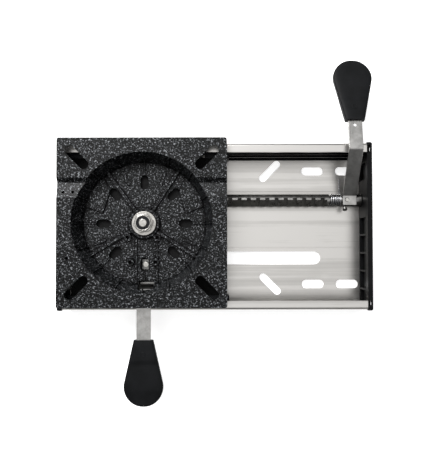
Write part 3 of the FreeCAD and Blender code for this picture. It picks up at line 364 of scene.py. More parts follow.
@dataclass(frozen=True)
class ZincPlate(Finish):
    """Satin zinc on rolled strip and bar: even grey with a faint cloud."""

    cloud: float = 7.0
    grain: float = 0.5
    light: str = "a6a5a3"
    dark: str = "878684"
    smooth: float = 0.30

    def dress(self, tree: bpy.types.NodeTree, shader: bpy.types.Node,
              place: bpy.types.NodeSocket) -> None:
        """Cloud the colour and add a fine rolled grain.

        Args:
            tree: the material's node tree.
            shader: its main shader node.
            place: the Object coordinates.
        """
        cloud = self.noise(tree, place, self.cloud, detail=4.0, rough=0.6)
        grain = self.noise(tree, place, self.grain, (1, 14, 14), detail=2.0)
        colour = ramp(tree, cloud, [(0.3, self.dark), (0.7, self.light)])
        tree.links.new(colour, shader.inputs["Base Color"])
        self.roughness(tree, shader, cloud, self.smooth, self.smooth + 0.14)
        self.bump(tree, shader, grain, 0.04, 0.5)


@dataclass(frozen=True)
class MouldedPlastic(Finish):
    """Moulded thermoplastic with a spark-eroded skin.

    The real texture is about 0.1 mm; it is drawn coarser so that it shows.
    """

    colour: str = "1b1c1e"
    worn: str = "2c2d30"
    skin: float = 0.55
    depth: float = 0.10
    gloss: float = 0.46
    handling: float = 14.0

    def dress(self, tree: bpy.types.NodeTree, shader: bpy.types.Node,
              place: bpy.types.NodeSocket) -> None:
        """Add the skin and a slow change of tone from handling.

        Args:
            tree: the material's node tree.
            shader: its main shader node.
            place: the Object coordinates.
        """
        skin = self.noise(tree, place, self.skin, detail=2.0)
        tone = self.noise(tree, place, self.handling, detail=3.0)
        colour = ramp(tree, tone, [(0.35, self.colour), (0.75, self.worn)])
        tree.links.new(colour, shader.inputs["Base Color"])
        self.roughness(tree, shader, tone, self.gloss, self.gloss + 0.12)
        shader.inputs["Specular IOR Level"].default_value = 0.1
        self.bump(tree, shader, skin, self.depth, 0.6)


COAT = HammertoneCoat("hammertone_powder_coat", Slot.COAT, metallic=0.25)
CAST = SatinCoat("satin_black_casting_painted_shade", Slot.COAT)
ALUMINIUM = ExtrudedAluminium("mill_finish_aluminium", Slot.ALUMINIUM, metallic=1.0)
ZINC = ZincPlate("zinc_plated_steel", Slot.ZINC, metallic=1.0)
BRIGHT = ZincPlate("bright_zinc_fastener", Slot.BRIGHT, metallic=1.0, cloud=4.0,
                   light="b4b2ae", dark="8c8a86", smooth=0.20)
ROD = ZincPlate("zinc_plated_rod", Slot.ZINC, metallic=1.0, cloud=5.0,
                light="8d8c8a", dark="6b6a68", smooth=0.22)
WIRE = ZincPlate("drawn_spring_wire", Slot.SPRING, metallic=1.0, cloud=3.0,
                 light="b4b4b4", dark="84858a", smooth=0.20)
NYLON = MouldedPlastic("moulded_black_nylon", Slot.NYLON, colour="050506", worn="0d0e0f",
                       skin=0.7, depth=0.08, gloss=0.40)
# painted shadow: near-black strips laid on the plate where the upper lip shades it
RAIL_SHADOW = MouldedPlastic("painted_rail_shadow", Slot.NYLON, colour="050506", worn="0b0b0c",
                       skin=1.2, depth=0.05, gloss=0.6)
GRIP = MouldedPlastic("moulded_grip_plastic", Slot.PADDLE, colour="0a0b0c", worn="121315")
ACETAL = MouldedPlastic("moulded_acetal", Slot.ACETAL, colour="131416", worn="1e1f22",
                        skin=0.9, depth=0.05, gloss=0.34)


# ---- mesh helpers -----------------------------------------------------------------------

def new_piece(name: str, mesh: bpy.types.Mesh, finish: Finish, body: Body,
              *nodes: str) -> bpy.types.Object:
    """Link a finished mesh as a piece that rides on a body and stands for CAD nodes.

    Args:
        name: the piece's name.
        mesh: its mesh, placed in the frame.
        finish: what it is made of.
        body: the body it rides on.
        nodes: the CAD nodes that it replaces.

    Returns:
        The piece's object.
    """
    piece = bpy.data.objects.new(name, mesh)
    bpy.context.scene.collection.objects.link(piece)
    mesh.materials.clear()
    mesh.materials.append(finish.material())
    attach(piece, body.value)
    if nodes:
        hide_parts(*nodes)
    LOG.info("%s: %d faces", name, len(mesh.polygons))
    return piece


def baked(owner: bpy.types.Object, name: str) -> bpy.types.Mesh:
    """Turn an object and its modifiers into a plain mesh, and remove the object.

    Args:
        owner: the object.
        name: the new mesh's name.

    Returns:
        The evaluated mesh.
    """
    bpy.context.view_layer.update()
    graph = bpy.context.evaluated_depsgraph_get()
    mesh = bpy.data.meshes.new_from_object(owner.evaluated_get(graph))
    mesh.name = name
    owner.modifiers.clear()
    bpy.data.objects.remove(owner)
    return mesh


def smooth_faces(mesh: bpy.types.Mesh) -> None:
    """Shade every face smooth."""
    mesh.polygons.foreach_set("use_smooth", [True] * len(mesh.polygons))


def shade(mesh: bpy.types.Mesh, degrees: float = 32.0) -> None:
    """Shade smooth, with sharp edges above an angle."""
    smooth_faces(mesh)
    mesh.set_sharp_from_angle(angle=math.radians(degrees))


def eased_copy(node: str, width: float, flat: float, segments: int = 2,
               edge: float = 35.0) -> bpy.types.Mesh:
    """Copy a CAD node's mesh with its sharp edges eased.

    Args:
        node: the CAD node.
        width: bevel width in millimetres.
        flat: faces that differ by less than this many degrees are joined first, if not 0.
        segments: steps across the bevel.
        edge: edges turned by more than this many degrees are eased.

    Returns:
        A closed mesh in the frame's place.
    """
    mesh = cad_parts[node].data.copy()
    work = bmesh.new()
    work.from_mesh(mesh)
    bmesh.ops.remove_doubles(work, verts=work.verts, dist=MERGE_GAP)
    if flat:
        bmesh.ops.dissolve_limit(work, angle_limit=math.radians(flat), verts=work.verts,
                                 edges=work.edges)
    work.to_mesh(mesh)
    work.free()
    smooth_faces(mesh)
    owner = bpy.data.objects.new("easing", mesh)
    bpy.context.scene.collection.objects.link(owner)
    bevel = owner.modifiers.new("bevel", "BEVEL")
    bevel.width = width * MM
    bevel.segments = segments
    bevel.limit_method = "ANGLE"
    bevel.angle_limit = math.radians(edge)
    bevel.use_clamp_overlap = True
    weighted = owner.modifiers.new("normals", "WEIGHTED_NORMAL")
    weighted.weight = 100
    return baked(owner, f"{node}_eased")


def lathe(profile: list[tuple[float, float]], steps: int = 40) -> bmesh.types.BMesh:
    """Turn a profile about Z.

    Args:
        profile: radius and height of each ring in millimetres; radius 0 closes it.
        steps: vertices round each ring.

    Returns:
        The turned shape.
    """
    work = bmesh.new()
    rings = []
    for radius, height in profile:
        if radius == 0:
            rings.append([work.verts.new((0, 0, height * MM))])
            continue
        rings.append([work.verts.new((radius * MM * math.cos(2 * math.pi * i / steps),
                                      radius * MM * math.sin(2 * math.pi * i / steps),
                                      height * MM)) for i in range(steps)])
    for low, high in zip(rings, rings[1:]):
        for i in range(steps):
            j = (i + 1) % steps
            corners = [low[i % len(low)], low[j % len(low)], high[j % len(high)],
                       high[i % len(high)]]
            work.faces.new(list(dict.fromkeys(corners)))
    bmesh.ops.recalc_face_normals(work, faces=work.faces)
    return work


def to_mesh(work: bmesh.types.BMesh, name: str, place: Matrix,
            degrees: float = 32.0) -> bpy.types.Mesh:
    """Place a bmesh and turn it into a shaded mesh.

    Args:
        work: the shape, which is freed.
        name: the mesh's name.
        place: where it goes in the frame.
        degrees: edges turned by more than this stay sharp.

    Returns:
        The mesh.
    """
    work.transform(place)
    mesh = bpy.data.meshes.new(name)
    work.to_mesh(mesh)
    work.free()
    shade(mesh, degrees)
    return mesh


# ---- geometry node trees ------------------------------------------------------------------

def new_tree(name: str, inputs: dict[str, float],
             material: bpy.types.Material) -> tuple[bpy.types.NodeTree, dict, Callable]:
    """Start a geometry tree with named number inputs.

    Args:
        name: the tree's name.
        inputs: input name to default.
        material: what Set Material gives the result.

    Returns:
        The tree, its input sockets by name (with "Geometry"), and a function that ends
        the tree with Realize Instances and Set Material on the geometry it is given.
    """
    tree = bpy.data.node_groups.new(name, "GeometryNodeTree")
    tree.interface.new_socket("Geometry", in_out="INPUT", socket_type="NodeSocketGeometry")
    for label, default in inputs.items():
        socket = tree.interface.new_socket(label, in_out="INPUT", socket_type="NodeSocketFloat")
        socket.default_value = default
    tree.interface.new_socket("Geometry", in_out="OUTPUT", socket_type="NodeSocketGeometry")
    entry = add(tree, "NodeGroupInput")

    def end(geometry: bpy.types.NodeSocket) -> None:
        """Realize, set the material and reach the output."""
        real = add(tree, "GeometryNodeRealizeInstances", links={0: geometry})
        dressed = add(tree, "GeometryNodeSetMaterial", {"Material": material},
                      {"Geometry": real.outputs[0]})
        add(tree, "NodeGroupOutput", links={0: dressed.outputs[0]})

    return tree, {socket.name: socket for socket in entry.outputs if socket.name}, end


def grown(tree: bpy.types.NodeTree, sizes: dict[str, float], name: str,
          points: list[Vector] | None = None,
          facing: list[Vector] | None = None) -> bpy.types.Mesh:
    """Run a geometry tree on points and return its mesh.

    Args:
        tree: the tree.
        sizes: named inputs, in metres or counts.
        name: the mesh's name.
        points: places of the instances.
        facing: the way each instance's Z axis points.

    Returns:
        The realized mesh.
    """
    seed = bpy.data.meshes.new("points")
    seed.from_pydata(points or [Vector()], [], [])
    if facing:
        layer = seed.attributes.new("facing", "FLOAT_VECTOR", "POINT")
        layer.data.foreach_set("vector", [c for v in facing for c in v])
    owner = bpy.data.objects.new("grower", seed)
    bpy.context.scene.collection.objects.link(owner)
    modifier = owner.modifiers.new("tree", "NODES")
    modifier.node_group = tree
    for item in tree.interface.items_tree:
        if item.in_out == "INPUT" and item.name in sizes:
            modifier[item.identifier] = float(sizes[item.name])
    mesh = baked(owner, name)
    shade(mesh)
    return mesh


def on_points(tree: bpy.types.NodeTree, points: bpy.types.NodeSocket,
              shape: bpy.types.NodeSocket) -> bpy.types.NodeSocket:
    """Stand a shape on every point, its Z axis along the "facing" attribute.

    Args:
        tree: the geometry tree.
        points: the points.
        shape: what stands on them.

    Returns:
        The instances.
    """
    facing = add(tree, "GeometryNodeInputNamedAttribute", {"Name": "facing"},
                 data_type="FLOAT_VECTOR")
    turn = add(tree, "FunctionNodeAlignRotationToVector", {}, {"Vector": facing.outputs[0]},
               axis="Z")
    placed = add(tree, "GeometryNodeInstanceOnPoints",
                 links={"Points": points, "Instance": shape, "Rotation": turn.outputs[0]})
    return placed.outputs[0]


def cross_screw_tree(finish: Finish, skirt_share: float = 0.55, crown_share: float = 0.68,
                     slot_share: float = 0.26, slot_reach: float = 1.15) -> bpy.types.NodeTree:
    """Make a tree that grows a pan-head screw with a cross recess on every point.

    Known fault: the head's booleans come out empty, so only the shank is left.

    Args:
        finish: what the screws are made of.
        skirt_share: the straight part of the head's height; the rest tapers.
        crown_share: the head's top radius as a share of its full one.
        slot_share: width of a recess bar as a share of the head's radius.
        slot_reach: length of a recess bar as a share of the head's radius.

    Returns:
        The tree.
    """
    tree, given, end = new_tree(f"cross_screws_{finish.name}", {
        "Head Radius": 3.4 * MM, "Head Height": 2.1 * MM, "Shank Radius": 1.45 * MM,
        "Shank Length": 15 * MM}, finish.material())

    def maths(operation: str, first: bpy.types.NodeSocket | float,
              second: bpy.types.NodeSocket | float) -> bpy.types.NodeSocket:
        """Add one sum on sockets or numbers.

        Args:
            operation: the sum's name.
            first: its first term.
            second: its second term.

        Returns:
            The result.
        """
        node = add(tree, "ShaderNodeMath", operation=operation)
        for index, value in enumerate((first, second)):
            if isinstance(value, bpy.types.NodeSocket):
                tree.links.new(value, node.inputs[index])
            else:
                node.inputs[index].default_value = value
        return node.outputs[0]

    def lifted(geometry: bpy.types.NodeSocket,
               height: bpy.types.NodeSocket) -> bpy.types.NodeSocket:
        """Move geometry along Z.

        Args:
            geometry: what moves.
            height: how far, in metres.

        Returns:
            The moved geometry.
        """
        vector = add(tree, "ShaderNodeCombineXYZ", links={"Z": height})
        moved = add(tree, "GeometryNodeTransform", links={"Geometry": geometry,
                                                          "Translation": vector.outputs[0]})
        return moved.outputs[0]

    radius, height = given["Head Radius"], given["Head Height"]
    skirt = add(tree, "GeometryNodeMeshCone", {"Vertices": 28},
                {"Radius Bottom": radius, "Radius Top": radius,
                 "Depth": maths("MULTIPLY", height, skirt_share)})
    crown = add(tree, "GeometryNodeMeshCone", {"Vertices": 28},
                {"Radius Bottom": radius, "Radius Top": maths("MULTIPLY", radius, crown_share),
                 "Depth": maths("MULTIPLY", height, 1 - skirt_share)})
    crown_up = lifted(crown.outputs["Mesh"], maths("MULTIPLY", height, skirt_share))
    head = add(tree, "GeometryNodeMeshBoolean", operation="UNION", solver="EXACT")
    tree.links.new(skirt.outputs["Mesh"], head.inputs["Mesh 2"])
    tree.links.new(crown_up, head.inputs["Mesh 2"])
    bars = add(tree, "GeometryNodeJoinGeometry")
    for turned in (False, True):
        long = maths("MULTIPLY", radius, slot_reach)
        short = maths("MULTIPLY", radius, slot_share)
        size = add(tree, "ShaderNodeCombineXYZ",
                   links={"X": short if turned else long, "Y": long if turned else short,
                          "Z": height})
        bar = add(tree, "GeometryNodeMeshCube", links={"Size": size.outputs[0]})
        tree.links.new(lifted(bar.outputs["Mesh"], height), bars.inputs[0])
    cut = add(tree, "GeometryNodeMeshBoolean", {}, {"Mesh 1": head.outputs["Mesh"],
                                                   "Mesh 2": bars.outputs[0]},
              operation="DIFFERENCE", solver="EXACT")
    shank = add(tree, "GeometryNodeMeshCylinder", {"Vertices": 20},
                {"Radius": given["Shank Radius"], "Depth": given["Shank Length"]})
    below = lifted(shank.outputs["Mesh"], maths("MULTIPLY", given["Shank Length"], -0.5))
    whole = add(tree, "GeometryNodeJoinGeometry")
    tree.links.new(cut.outputs["Mesh"], whole.inputs[0])
    tree.links.new(below, whole.inputs[0])
    end(on_points(tree, given["Geometry"], whole.outputs[0]))
    return tree


def coil_tree(finish: Finish) -> bpy.types.NodeTree:
    """Make a tree that grows a round-wire coil on every point.

    Args:
        finish: what the wire is made of.

    Returns:
        The tree.
    """
    tree, given, end = new_tree(f"coil_{finish.name}", {
        "Mean Radius": 6.5 * MM, "Length": 12 * MM, "Turns": 6, "Wire Radius": 0.8 * MM},
        finish.material())
    helix = add(tree, "GeometryNodeCurveSpiral", {"Resolution": 40},
                {"Rotations": given["Turns"], "Start Radius": given["Mean Radius"],
                 "End Radius": given["Mean Radius"], "Height": given["Length"]})
    section = add(tree, "GeometryNodeCurvePrimitiveCircle", {"Resolution": 12},
                  {"Radius": given["Wire Radius"]})
    tube = add(tree, "GeometryNodeCurveToMesh", {"Fill Caps": True},
               {"Curve": helix.outputs[0], "Profile Curve": section.outputs[0]})
    end(on_points(tree, given["Geometry"], tube.outputs[0]))
    return tree


# ---- sub-assemblies -----------------------------------------------------------------------

@dataclass
class Grips:
    """The two moulded paddles on the levers, in millimetres.

    The crease, where the socket ends, is a share of the length, and the droop is in degrees.
    """

    length: float = 69.6
    root: float = 20.6
    end_radius: float = 20.8
    thick: float = 8.8
    crease: float = 0.31
    mouth: tuple[float, float] = (15.8, 3.2)
    mouth_depth: float = 6.0
    rivet_at: float = 14.6
    droop: float = 11.03
    blade_power: float = 0.42
    mouth_power: float = 0.25
    stations: int = 46
    around: int = 48

    def half_width(self, along: float) -> float:
        """Half the width: a straight side, tangent to the round end.

        Args:
            along: distance from the socket's mouth.

        Returns:
            Half the width there.
        """
        middle = self.length - self.end_radius
        reach = math.hypot(middle, self.root / 2)
        lean = math.acos(self.end_radius / reach) + math.atan2(self.root / 2, middle)
        touch_y = middle - self.end_radius * math.cos(lean)
        touch_x = self.end_radius * math.sin(lean)
        if along < touch_y:
            return self.root / 2 + (touch_x - self.root / 2) * along / touch_y
        return math.sqrt(max(self.end_radius ** 2 - (along - middle) ** 2, 0.0))

    def half_thick(self, along: float) -> float:
        """Half the thickness: a thick socket, a step at the crease, then a crowned blade.

        Args:
            along: distance from the socket's mouth.

        Returns:
            Half the thickness there.
        """
        share = along / self.length
        step = min(max((share - self.crease) / 0.05, 0.0), 1.0)
        step = step * step * (3 - 2 * step)
        blade = 0.80 + 0.10 * math.sin(math.pi * min(max(share - self.crease, 0) / 0.6, 1))
        tip = 1 - 0.30 * max(share - 0.75, 0) / 0.25
        mouth = 1 - 0.06 * max(0.06 - share, 0) / 0.06
        return self.thick / 2 * ((1 - step) + step * blade) * tip * mouth

    def mesh(self, name: str, place: Matrix) -> bpy.types.Mesh:
        """Loft rounded sections along a paddle, with a socket mouth at its root.

        Args:
            name: the mesh's name.
            place: where the mouth's middle and the paddle's axes lie.

        Returns:
            The paddle's closed mesh.
        """
        work = bmesh.new()
        rings = []
        for index in range(self.stations + 1):
            share = index / self.stations
            along = self.length * math.sin(share * math.pi / 2) ** 1.15
            across = max(self.half_width(along), 0.02)
            high = self.half_thick(along)
            edge = min(across / 9.0, 1.0)
            rings.append(self.section(work, across, high * math.sqrt(edge), along,
                                      self.blade_power))
        inner = self.section(work, self.mouth[0] / 2, self.mouth[1] / 2, 0.0,
                             self.mouth_power)
        floor = self.section(work, self.mouth[0] / 2, self.mouth[1] / 2, self.mouth_depth,
                             self.mouth_power)
        for low, high in zip([floor, inner, *rings], [inner, *rings]):
            for i in range(self.around):
                j = (i + 1) % self.around
                work.faces.new((low[i], low[j], high[j], high[i]))
        work.faces.new(rings[-1])
        work.faces.new(list(reversed(floor)))
        bmesh.ops.recalc_face_normals(work, faces=work.faces)
        return to_mesh(work, name, place, 48.0)

    def section(self, work: bmesh.types.BMesh, across: float, high: float, along: float,
                power: float) -> list[bmesh.types.BMVert]:
        """Add one rounded-rectangle ring of vertices.

        Args:
            work: the shape that gets them.
            across: half the ring's width.
            high: half its thickness.
            along: its distance from the mouth.
            power: how round it is: 1 is an ellipse and 0 a rectangle.

        Returns:
            The ring.
        """
        ring = []
        for index in range(self.around):
            angle = 2 * math.pi * (index + 0.5) / self.around
            c, s = math.cos(angle), math.sin(angle)
            x = across * math.copysign(abs(c) ** power, c)
            z = high * math.copysign(abs(s) ** power, s)
            ring.append(work.verts.new((x * MM, along * MM, z * MM)))
        return ring

    def place(self, node: str, turn: Matrix) -> Matrix:
        """Find where a paddle lies from the middle of its CAD box.

        Args:
            node: the CAD paddle.
            turn: the way that the paddle points.

        Returns:
            The place of its mouth and axes.
        """
        low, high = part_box(node)
        reach = turn.to_3x3() @ Vector((0, 0.5 * self.length * MM, 0))
        return Matrix.Translation((low + high) / 2 - reach) @ turn

    def build(self) -> None:
        """Make both paddles and their dished rivets."""
        poses = (
            ("slide_lever_paddle", "slide_paddle_rivet", Body.LEVER,
             Matrix.Rotation(math.radians(-self.droop), 4, "X")),
            ("swivel_lever_paddle", "swivel_paddle_rivet", Body.SWIVEL_LEVER,
             Matrix.Rotation(math.pi, 4, "Z")),
        )
        for node, rivet, body, turn in poses:
            place = self.place(node, turn)
            new_piece(f"{node}_grip", self.mesh(node, place), GRIP, body, node)
            high = self.half_thick(self.rivet_at)
            cup = [(0, high - 0.75), (1.1, high - 0.72), (1.7, high - 0.35), (2.0, high + 0.12),
                   (2.5, high + 0.20), (2.9, high - 0.05), (2.9, -high + 0.05),
                   (2.5, -high - 0.20), (2.0, -high - 0.12), (0, -high + 0.5)]
            work = lathe(cup, 32)
            spot = place @ Matrix.Translation((0, self.rivet_at * MM, 0))
            new_piece(f"{rivet}_dished", to_mesh(work, rivet, spot), GRIP, body, rivet)


@dataclass
class Screws:
    """Cross-head screws, grown on the seats of the CAD screws.

    Known fault: only their shanks show, for the reason that cross_screw_tree gives.
    Each group's sizes are its head's radius and height and its shank's radius and length.
    """

    sizes: dict[str, tuple[float, float, float, float]] = field(default_factory=lambda: {
        "end_cap_screws": (3.4, 2.1, 1.45, 15.0),
        "glide_screws": (2.3, 1.5, 1.45, 13.0),
        "bracket_screws": (2.3, 1.5, 1.4, 7.0),
        "lock_tooth_screws": (2.3, 1.5, 1.2, 4.6),
        "lever_clamp_screw": (3.4, 2.4, 1.9, 12.0),
    })

    def seats(self, node: str, facing_of: Callable[[Vector], Vector]
              ) -> tuple[list[Vector], list[Vector]]:
        """Find each screw's seat and direction from its loose part in the CAD mesh.

        Args:
            node: the CAD node, which may hold several screws.
            facing_of: gives the way a screw's head points from the screw's middle.

        Returns:
            The seats and the directions, in the order of the seats' places.
        """
        work = bmesh.new()
        work.from_mesh(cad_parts[node].data)
        bmesh.ops.remove_doubles(work, verts=work.verts, dist=MERGE_GAP)
        left = set(work.verts)
        places, headings = [], []
        head, tall = self.sizes[node][0] * MM, self.sizes[node][1] * MM
        while left:
            island, queue = set(), [left.pop()]
            while queue:
                vert = queue.pop()
                island.add(vert)
                for edge in vert.link_edges:
                    other = edge.other_vert(vert)
                    if other in left:
                        left.discard(other)
                        queue.append(other)
            facing = facing_of(sum((v.co for v in island), Vector()) / len(island))
            top = max(v.co.dot(facing) for v in island)
            crown = [v.co for v in island if v.co.dot(facing) > top - 0.05 * head]
            middle = sum(crown, Vector()) / len(crown)
            places.append(middle - facing * tall)
            headings.append(facing)
        work.free()
        order = sorted(range(len(places)), key=lambda i: tuple(places[i]))
        return [places[i] for i in order], [headings[i] for i in order]

    def build(self) -> None:
        """Grow every group of screws."""
        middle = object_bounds()[0].lerp(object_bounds()[1], 0.5)
        groups = {
            "end_cap_screws": (Body.SLIDE, BRIGHT,
                               lambda c: Vector((math.copysign(1, c.x - middle.x), 0, 0))),
            "glide_screws": (Body.CARRIAGE, BRIGHT, lambda c: UP),
            "bracket_screws": (Body.CARRIAGE, BRIGHT, lambda c: UP),
            "lock_tooth_screws": (Body.CARRIAGE, ZINC, lambda c: OUT),
            "lever_clamp_screw": (Body.LEVER, BRIGHT, lambda c: UP),
        }
        trees = {finish.name: cross_screw_tree(finish) for finish in (BRIGHT, ZINC)}
        for node, (body, finish, facing_of) in groups.items():
            head, tall, shank, long = self.sizes[node]
            places, headings = self.seats(node, facing_of)
            given = {"Head Radius": head * MM, "Head Height": tall * MM,
                     "Shank Radius": shank * MM, "Shank Length": long * MM}
            mesh = grown(trees[finish.name], given, f"{node}_cross", places, headings)
            new_piece(f"{node}_cross", mesh, finish, body, node)


@dataclass
class Springs:
    """The torsion spring on the lock rod and the small one on the swivel lever's pin."""

    mean: float = 6.55
    wire: float = 0.8
    pitch: float = 2.05
    turns: int = 6
    leg: float = 24.0
    small_mean: float = 3.2
    small_wire: float = 0.4
    small_pitch: float = 1.0
    small_turns: int = 3

    def build(self) -> None:
        """Coil both springs along X."""
        tree = coil_tree(WIRE)
        rod_low, rod_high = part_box("lock_rod")
        axis = (rod_low + rod_high) / 2
        coil = self.turns * self.pitch * MM
        coil_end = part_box("torsion_spring")[1].x
        start = Vector((coil_end - self.wire * MM - coil, axis.y, axis.z))
        sizes = {"Mean Radius": self.mean * MM, "Length": coil,
                 "Turns": self.turns, "Wire Radius": self.wire * MM}
        mesh = grown(tree, sizes, "torsion_coil", [start], [ALONG])
        work = bmesh.new()
        work.from_mesh(mesh)
        leg = lathe([(0, -0.4), (self.wire, 0), (self.wire, self.leg), (0, self.leg + 0.3)], 14)
        leg.transform(Matrix.Translation((start.x + coil, axis.y, axis.z - self.mean * MM))
                      @ Matrix.Rotation(-math.pi / 2, 4, "X"))
        extra = bpy.data.meshes.new("spring_leg")
        leg.to_mesh(extra)
        leg.free()
        work.from_mesh(extra)
        work.to_mesh(mesh)
        work.free()
        shade(mesh, 50)
        new_piece("torsion_spring_coiled", mesh, WIRE, Body.SLIDE, "torsion_spring")

        pin_low, pin_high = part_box("lever_pivot_pin")
        pin = (pin_low + pin_high) / 2
        small_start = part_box("swivel_lever_spring")[0].x + self.small_wire * MM
        sizes = {"Mean Radius": self.small_mean * MM,
                 "Length": self.small_turns * self.small_pitch * MM,
                 "Turns": self.small_turns, "Wire Radius": self.small_wire * MM}
        mesh = grown(tree, sizes, "lever_coil", [Vector((small_start, pin.y, pin.z))], [ALONG])
        new_piece("swivel_lever_spring_coiled", mesh, WIRE, Body.CARRIAGE,
                  "swivel_lever_spring")


@dataclass
class Metalwork:
    """Cast, extruded, pressed, turned and moulded pieces.

    Those in eased are copied with their edges eased by a width in millimetres. Those in bent
    keep all their faces, because joining the flat ones spoils the shading of their bends.
    Those in plain are dressed as they stand.
    """

    eased: dict[str, tuple[float, Finish, Body]] = field(default_factory=lambda: {
        "slide_extrusion": (0.25, ALUMINIUM, Body.SLIDE),
        "end_cap_left": (0.35, NYLON, Body.SLIDE),
        "end_cap_right": (0.35, NYLON, Body.SLIDE),
        "swivel_base": (0.55, COAT, Body.SWIVEL),
        "carriage_casting": (0.5, CAST, Body.CARRIAGE),
        "slide_lever_arm": (0.4, ZINC, Body.LEVER),
        "swivel_lever_arm": (0.4, ZINC, Body.SWIVEL_LEVER),
        "lock_rod": (0.18, ROD, Body.LEVER),
        "pivot_nut": (0.45, BRIGHT, Body.CARRIAGE),
        "pivot_washer": (0.3, BRIGHT, Body.CARRIAGE),
        "pivot_bolt": (0.25, BRIGHT, Body.CARRIAGE),
        "swivel_lock_pin": (0.5, BRIGHT, Body.SWIVEL_LEVER),
        "lever_bracket": (0.25, ZINC, Body.CARRIAGE),
        "lock_tooth": (0.2, ZINC, Body.CARRIAGE),
    })
    bent: tuple[str, ...] = ("slide_lever_arm", "swivel_lever_arm")
    flat: float = 0.4
    plain: dict[str, Finish] = field(default_factory=lambda: {
        "rod_bush_left": ACETAL, "rod_bush_right": ACETAL, "glide_upper": ACETAL,
        "glide_lower": ACETAL, "pivot_bush": ACETAL, "thrust_washer": ACETAL,
        "nut_insert": ACETAL, "spring_anchor_screw": ZINC, "lever_pivot_pin": BRIGHT,
    })

    def build(self) -> None:
        """Ease and dress each piece."""
        for node, (width, finish, body) in self.eased.items():
            flat = 0.0 if node in self.bent else self.flat
            new_piece(f"{node}_finished", eased_copy(node, width, flat), finish, body, node)
        for node, finish in self.plain.items():
            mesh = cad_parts[node].data
            mesh.materials.clear()
            mesh.materials.append(finish.material())
            LOG.info("%s: dressed", node)


@dataclass
class RailShadowStrips:
    """Three thin near-black strips of painted shadow on the plate, under the lip on the lever's
    side, where the lip shades it.

    Sizes are in millimetres; each strip runs from one distance to another, measured from
    the rail's outer face.
    """

    strips: tuple[tuple[float, float], ...] = ((3.4, 6.6), (7.0, 9.7), (10.1, 13.3))
    plate: float = 3.6
    thick: float = 0.24
    chamfer: float = 0.1
    end_gap: float = 0.2

    def build(self) -> None:
        """Extrude a chamfered section for each strip between the end caps."""
        low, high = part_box("slide_extrusion")
        work = bmesh.new()
        floor, top, cut = self.plate * MM, (self.plate + self.thick) * MM, self.chamfer * MM
        for near, far in self.strips:
            y0, y1 = high.y - far * MM, high.y - near * MM
            section = [(y0, floor), (y1, floor), (y1, top - cut), (y1 - cut, top),
                       (y0 + cut, top), (y0, top - cut)]
            ends = [[work.verts.new((x, y, z)) for y, z in section]
                    for x in (low.x + self.end_gap * MM, high.x - self.end_gap * MM)]
            for i in range(len(section)):
                j = (i + 1) % len(section)
                work.faces.new((ends[0][i], ends[0][j], ends[1][j], ends[1][i]))
            work.faces.new(ends[0])
            work.faces.new(ends[1])
        bmesh.ops.recalc_face_normals(work, faces=work.faces)
        new_piece("rail_shadow_strips", to_mesh(work, "rail_shadow_strips", Matrix()), RAIL_SHADOW, Body.SLIDE)


# ---- studio -------------------------------------------------------------------------------

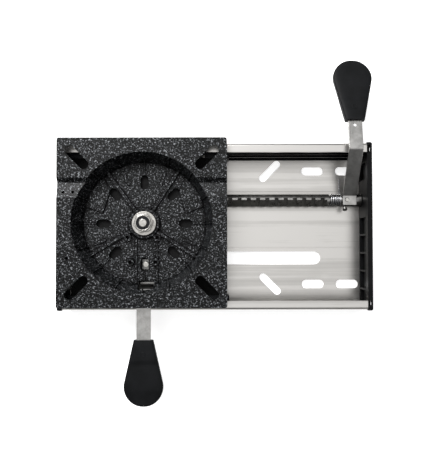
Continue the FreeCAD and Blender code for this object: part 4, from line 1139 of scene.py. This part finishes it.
@dataclass
class Studio:
    """Camera, floor and soft lights.

    The camera's sizes are in millimetres, its roll is in degrees, and its lift is a share of
    the picture. The rest is in metres and watts.
    """

    nadir: tuple[float, float] = (77.5, -28.1)
    target: tuple[float, float] = (77.8, -15.5)
    lift: float = 0.0271111
    height: float = 555.0
    lens: float = 42.8
    roll: float = -0.1
    sensor: float = 36.0
    floor_gap: float = 0.3
    floor_reach: float = 4.0
    floor_glow: float = 0.6
    sky: float = 0.2
    aim: tuple[float, float, float] = (0.07, 0.0, 0.02)

    def camera(self) -> None:
        """Look down on the mounting face from just below its middle."""
        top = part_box("swivel_base")[1].z
        eye = Vector((self.nadir[0] * MM, self.nadir[1] * MM, top + self.height * MM))
        look = Vector((self.target[0] * MM, self.target[1] * MM, top)) - eye
        data = bpy.data.cameras.new("camera")
        data.lens = self.lens
        data.sensor_width = self.sensor
        data.shift_y = self.lift
        camera = bpy.data.objects.new("camera", data)
        bpy.context.scene.collection.objects.link(camera)
        back = -look.normalized()
        right = (-OUT).cross(back).normalized()
        up = back.cross(right)
        turn = Matrix((right, up, back)).transposed()
        spin = Matrix.Rotation(math.radians(self.roll), 3, "Z")
        camera.matrix_world = Matrix.Translation(eye) @ (turn @ spin).to_4x4()
        bpy.context.scene.camera = camera

    def floor(self) -> None:
        """Lay a plain pale floor under the mount."""
        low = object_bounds()[0].z - self.floor_gap * MM
        mesh = bpy.data.meshes.new("floor")
        reach = self.floor_reach
        mesh.from_pydata([(-reach, -reach, low), (reach, -reach, low), (reach, reach, low),
                          (-reach, reach, low)], [], [(0, 1, 2, 3)])
        floor = bpy.data.objects.new("floor", mesh)
        bpy.context.scene.collection.objects.link(floor)
        material = bpy.data.materials.new("pale_floor")
        material.use_nodes = True
        shader = material.node_tree.nodes["Principled BSDF"]
        shader.inputs["Base Color"].default_value = linear("fbfbfb")
        shader.inputs["Roughness"].default_value = 0.9
        shader.inputs["Specular IOR Level"].default_value = 0.1
        shader.inputs["Emission Color"].default_value = linear("ffffff")
        shader.inputs["Emission Strength"].default_value = self.floor_glow
        mesh.materials.append(material)
        floor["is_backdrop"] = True

    def light(self, name: str, place: tuple[float, float, float], size: float,
              power: float) -> None:
        """Aim one square soft light at the mount.

        Args:
            name: the light's name.
            place: where it hangs.
            size: length of its side.
            power: its strength.
        """
        data = bpy.data.lights.new(name, "AREA")
        data.size = size
        data.energy = power
        lamp = bpy.data.objects.new(name, data)
        lamp.location = place
        aim = Vector(self.aim) - Vector(place)
        lamp.rotation_euler = aim.to_track_quat("-Z", "Y").to_euler()
        bpy.context.scene.collection.objects.link(lamp)

    def build(self) -> None:
        """Set up the whole studio."""
        self.camera()
        self.floor()
        self.light("key", (-0.55, 1.05, 1.25), 0.9, 46.0)
        self.light("overhead", (0.1, 0.35, 2.2), 2.6, 27.0)
        world = bpy.data.worlds.new("studio")
        world.use_nodes = True
        backdrop = world.node_tree.nodes["Background"]
        backdrop.inputs["Color"].default_value = linear("ffffff")
        backdrop.inputs["Strength"].default_value = self.sky
        bpy.context.scene.world = world
        view = bpy.context.scene.view_settings
        view.view_transform = "Standard"
        view.look = "None"


def main() -> None:
    """Build every sub-assembly, then the studio."""
    logging.basicConfig(level=logging.INFO, format="%(name)s: %(message)s")
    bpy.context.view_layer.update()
    for part in (Metalwork(), RailShadowStrips(), Screws(), Springs(), Grips(), Studio()):
        LOG.info("building %s", type(part).__name__)
        part.build()


if __name__ == "__main__":
    main()
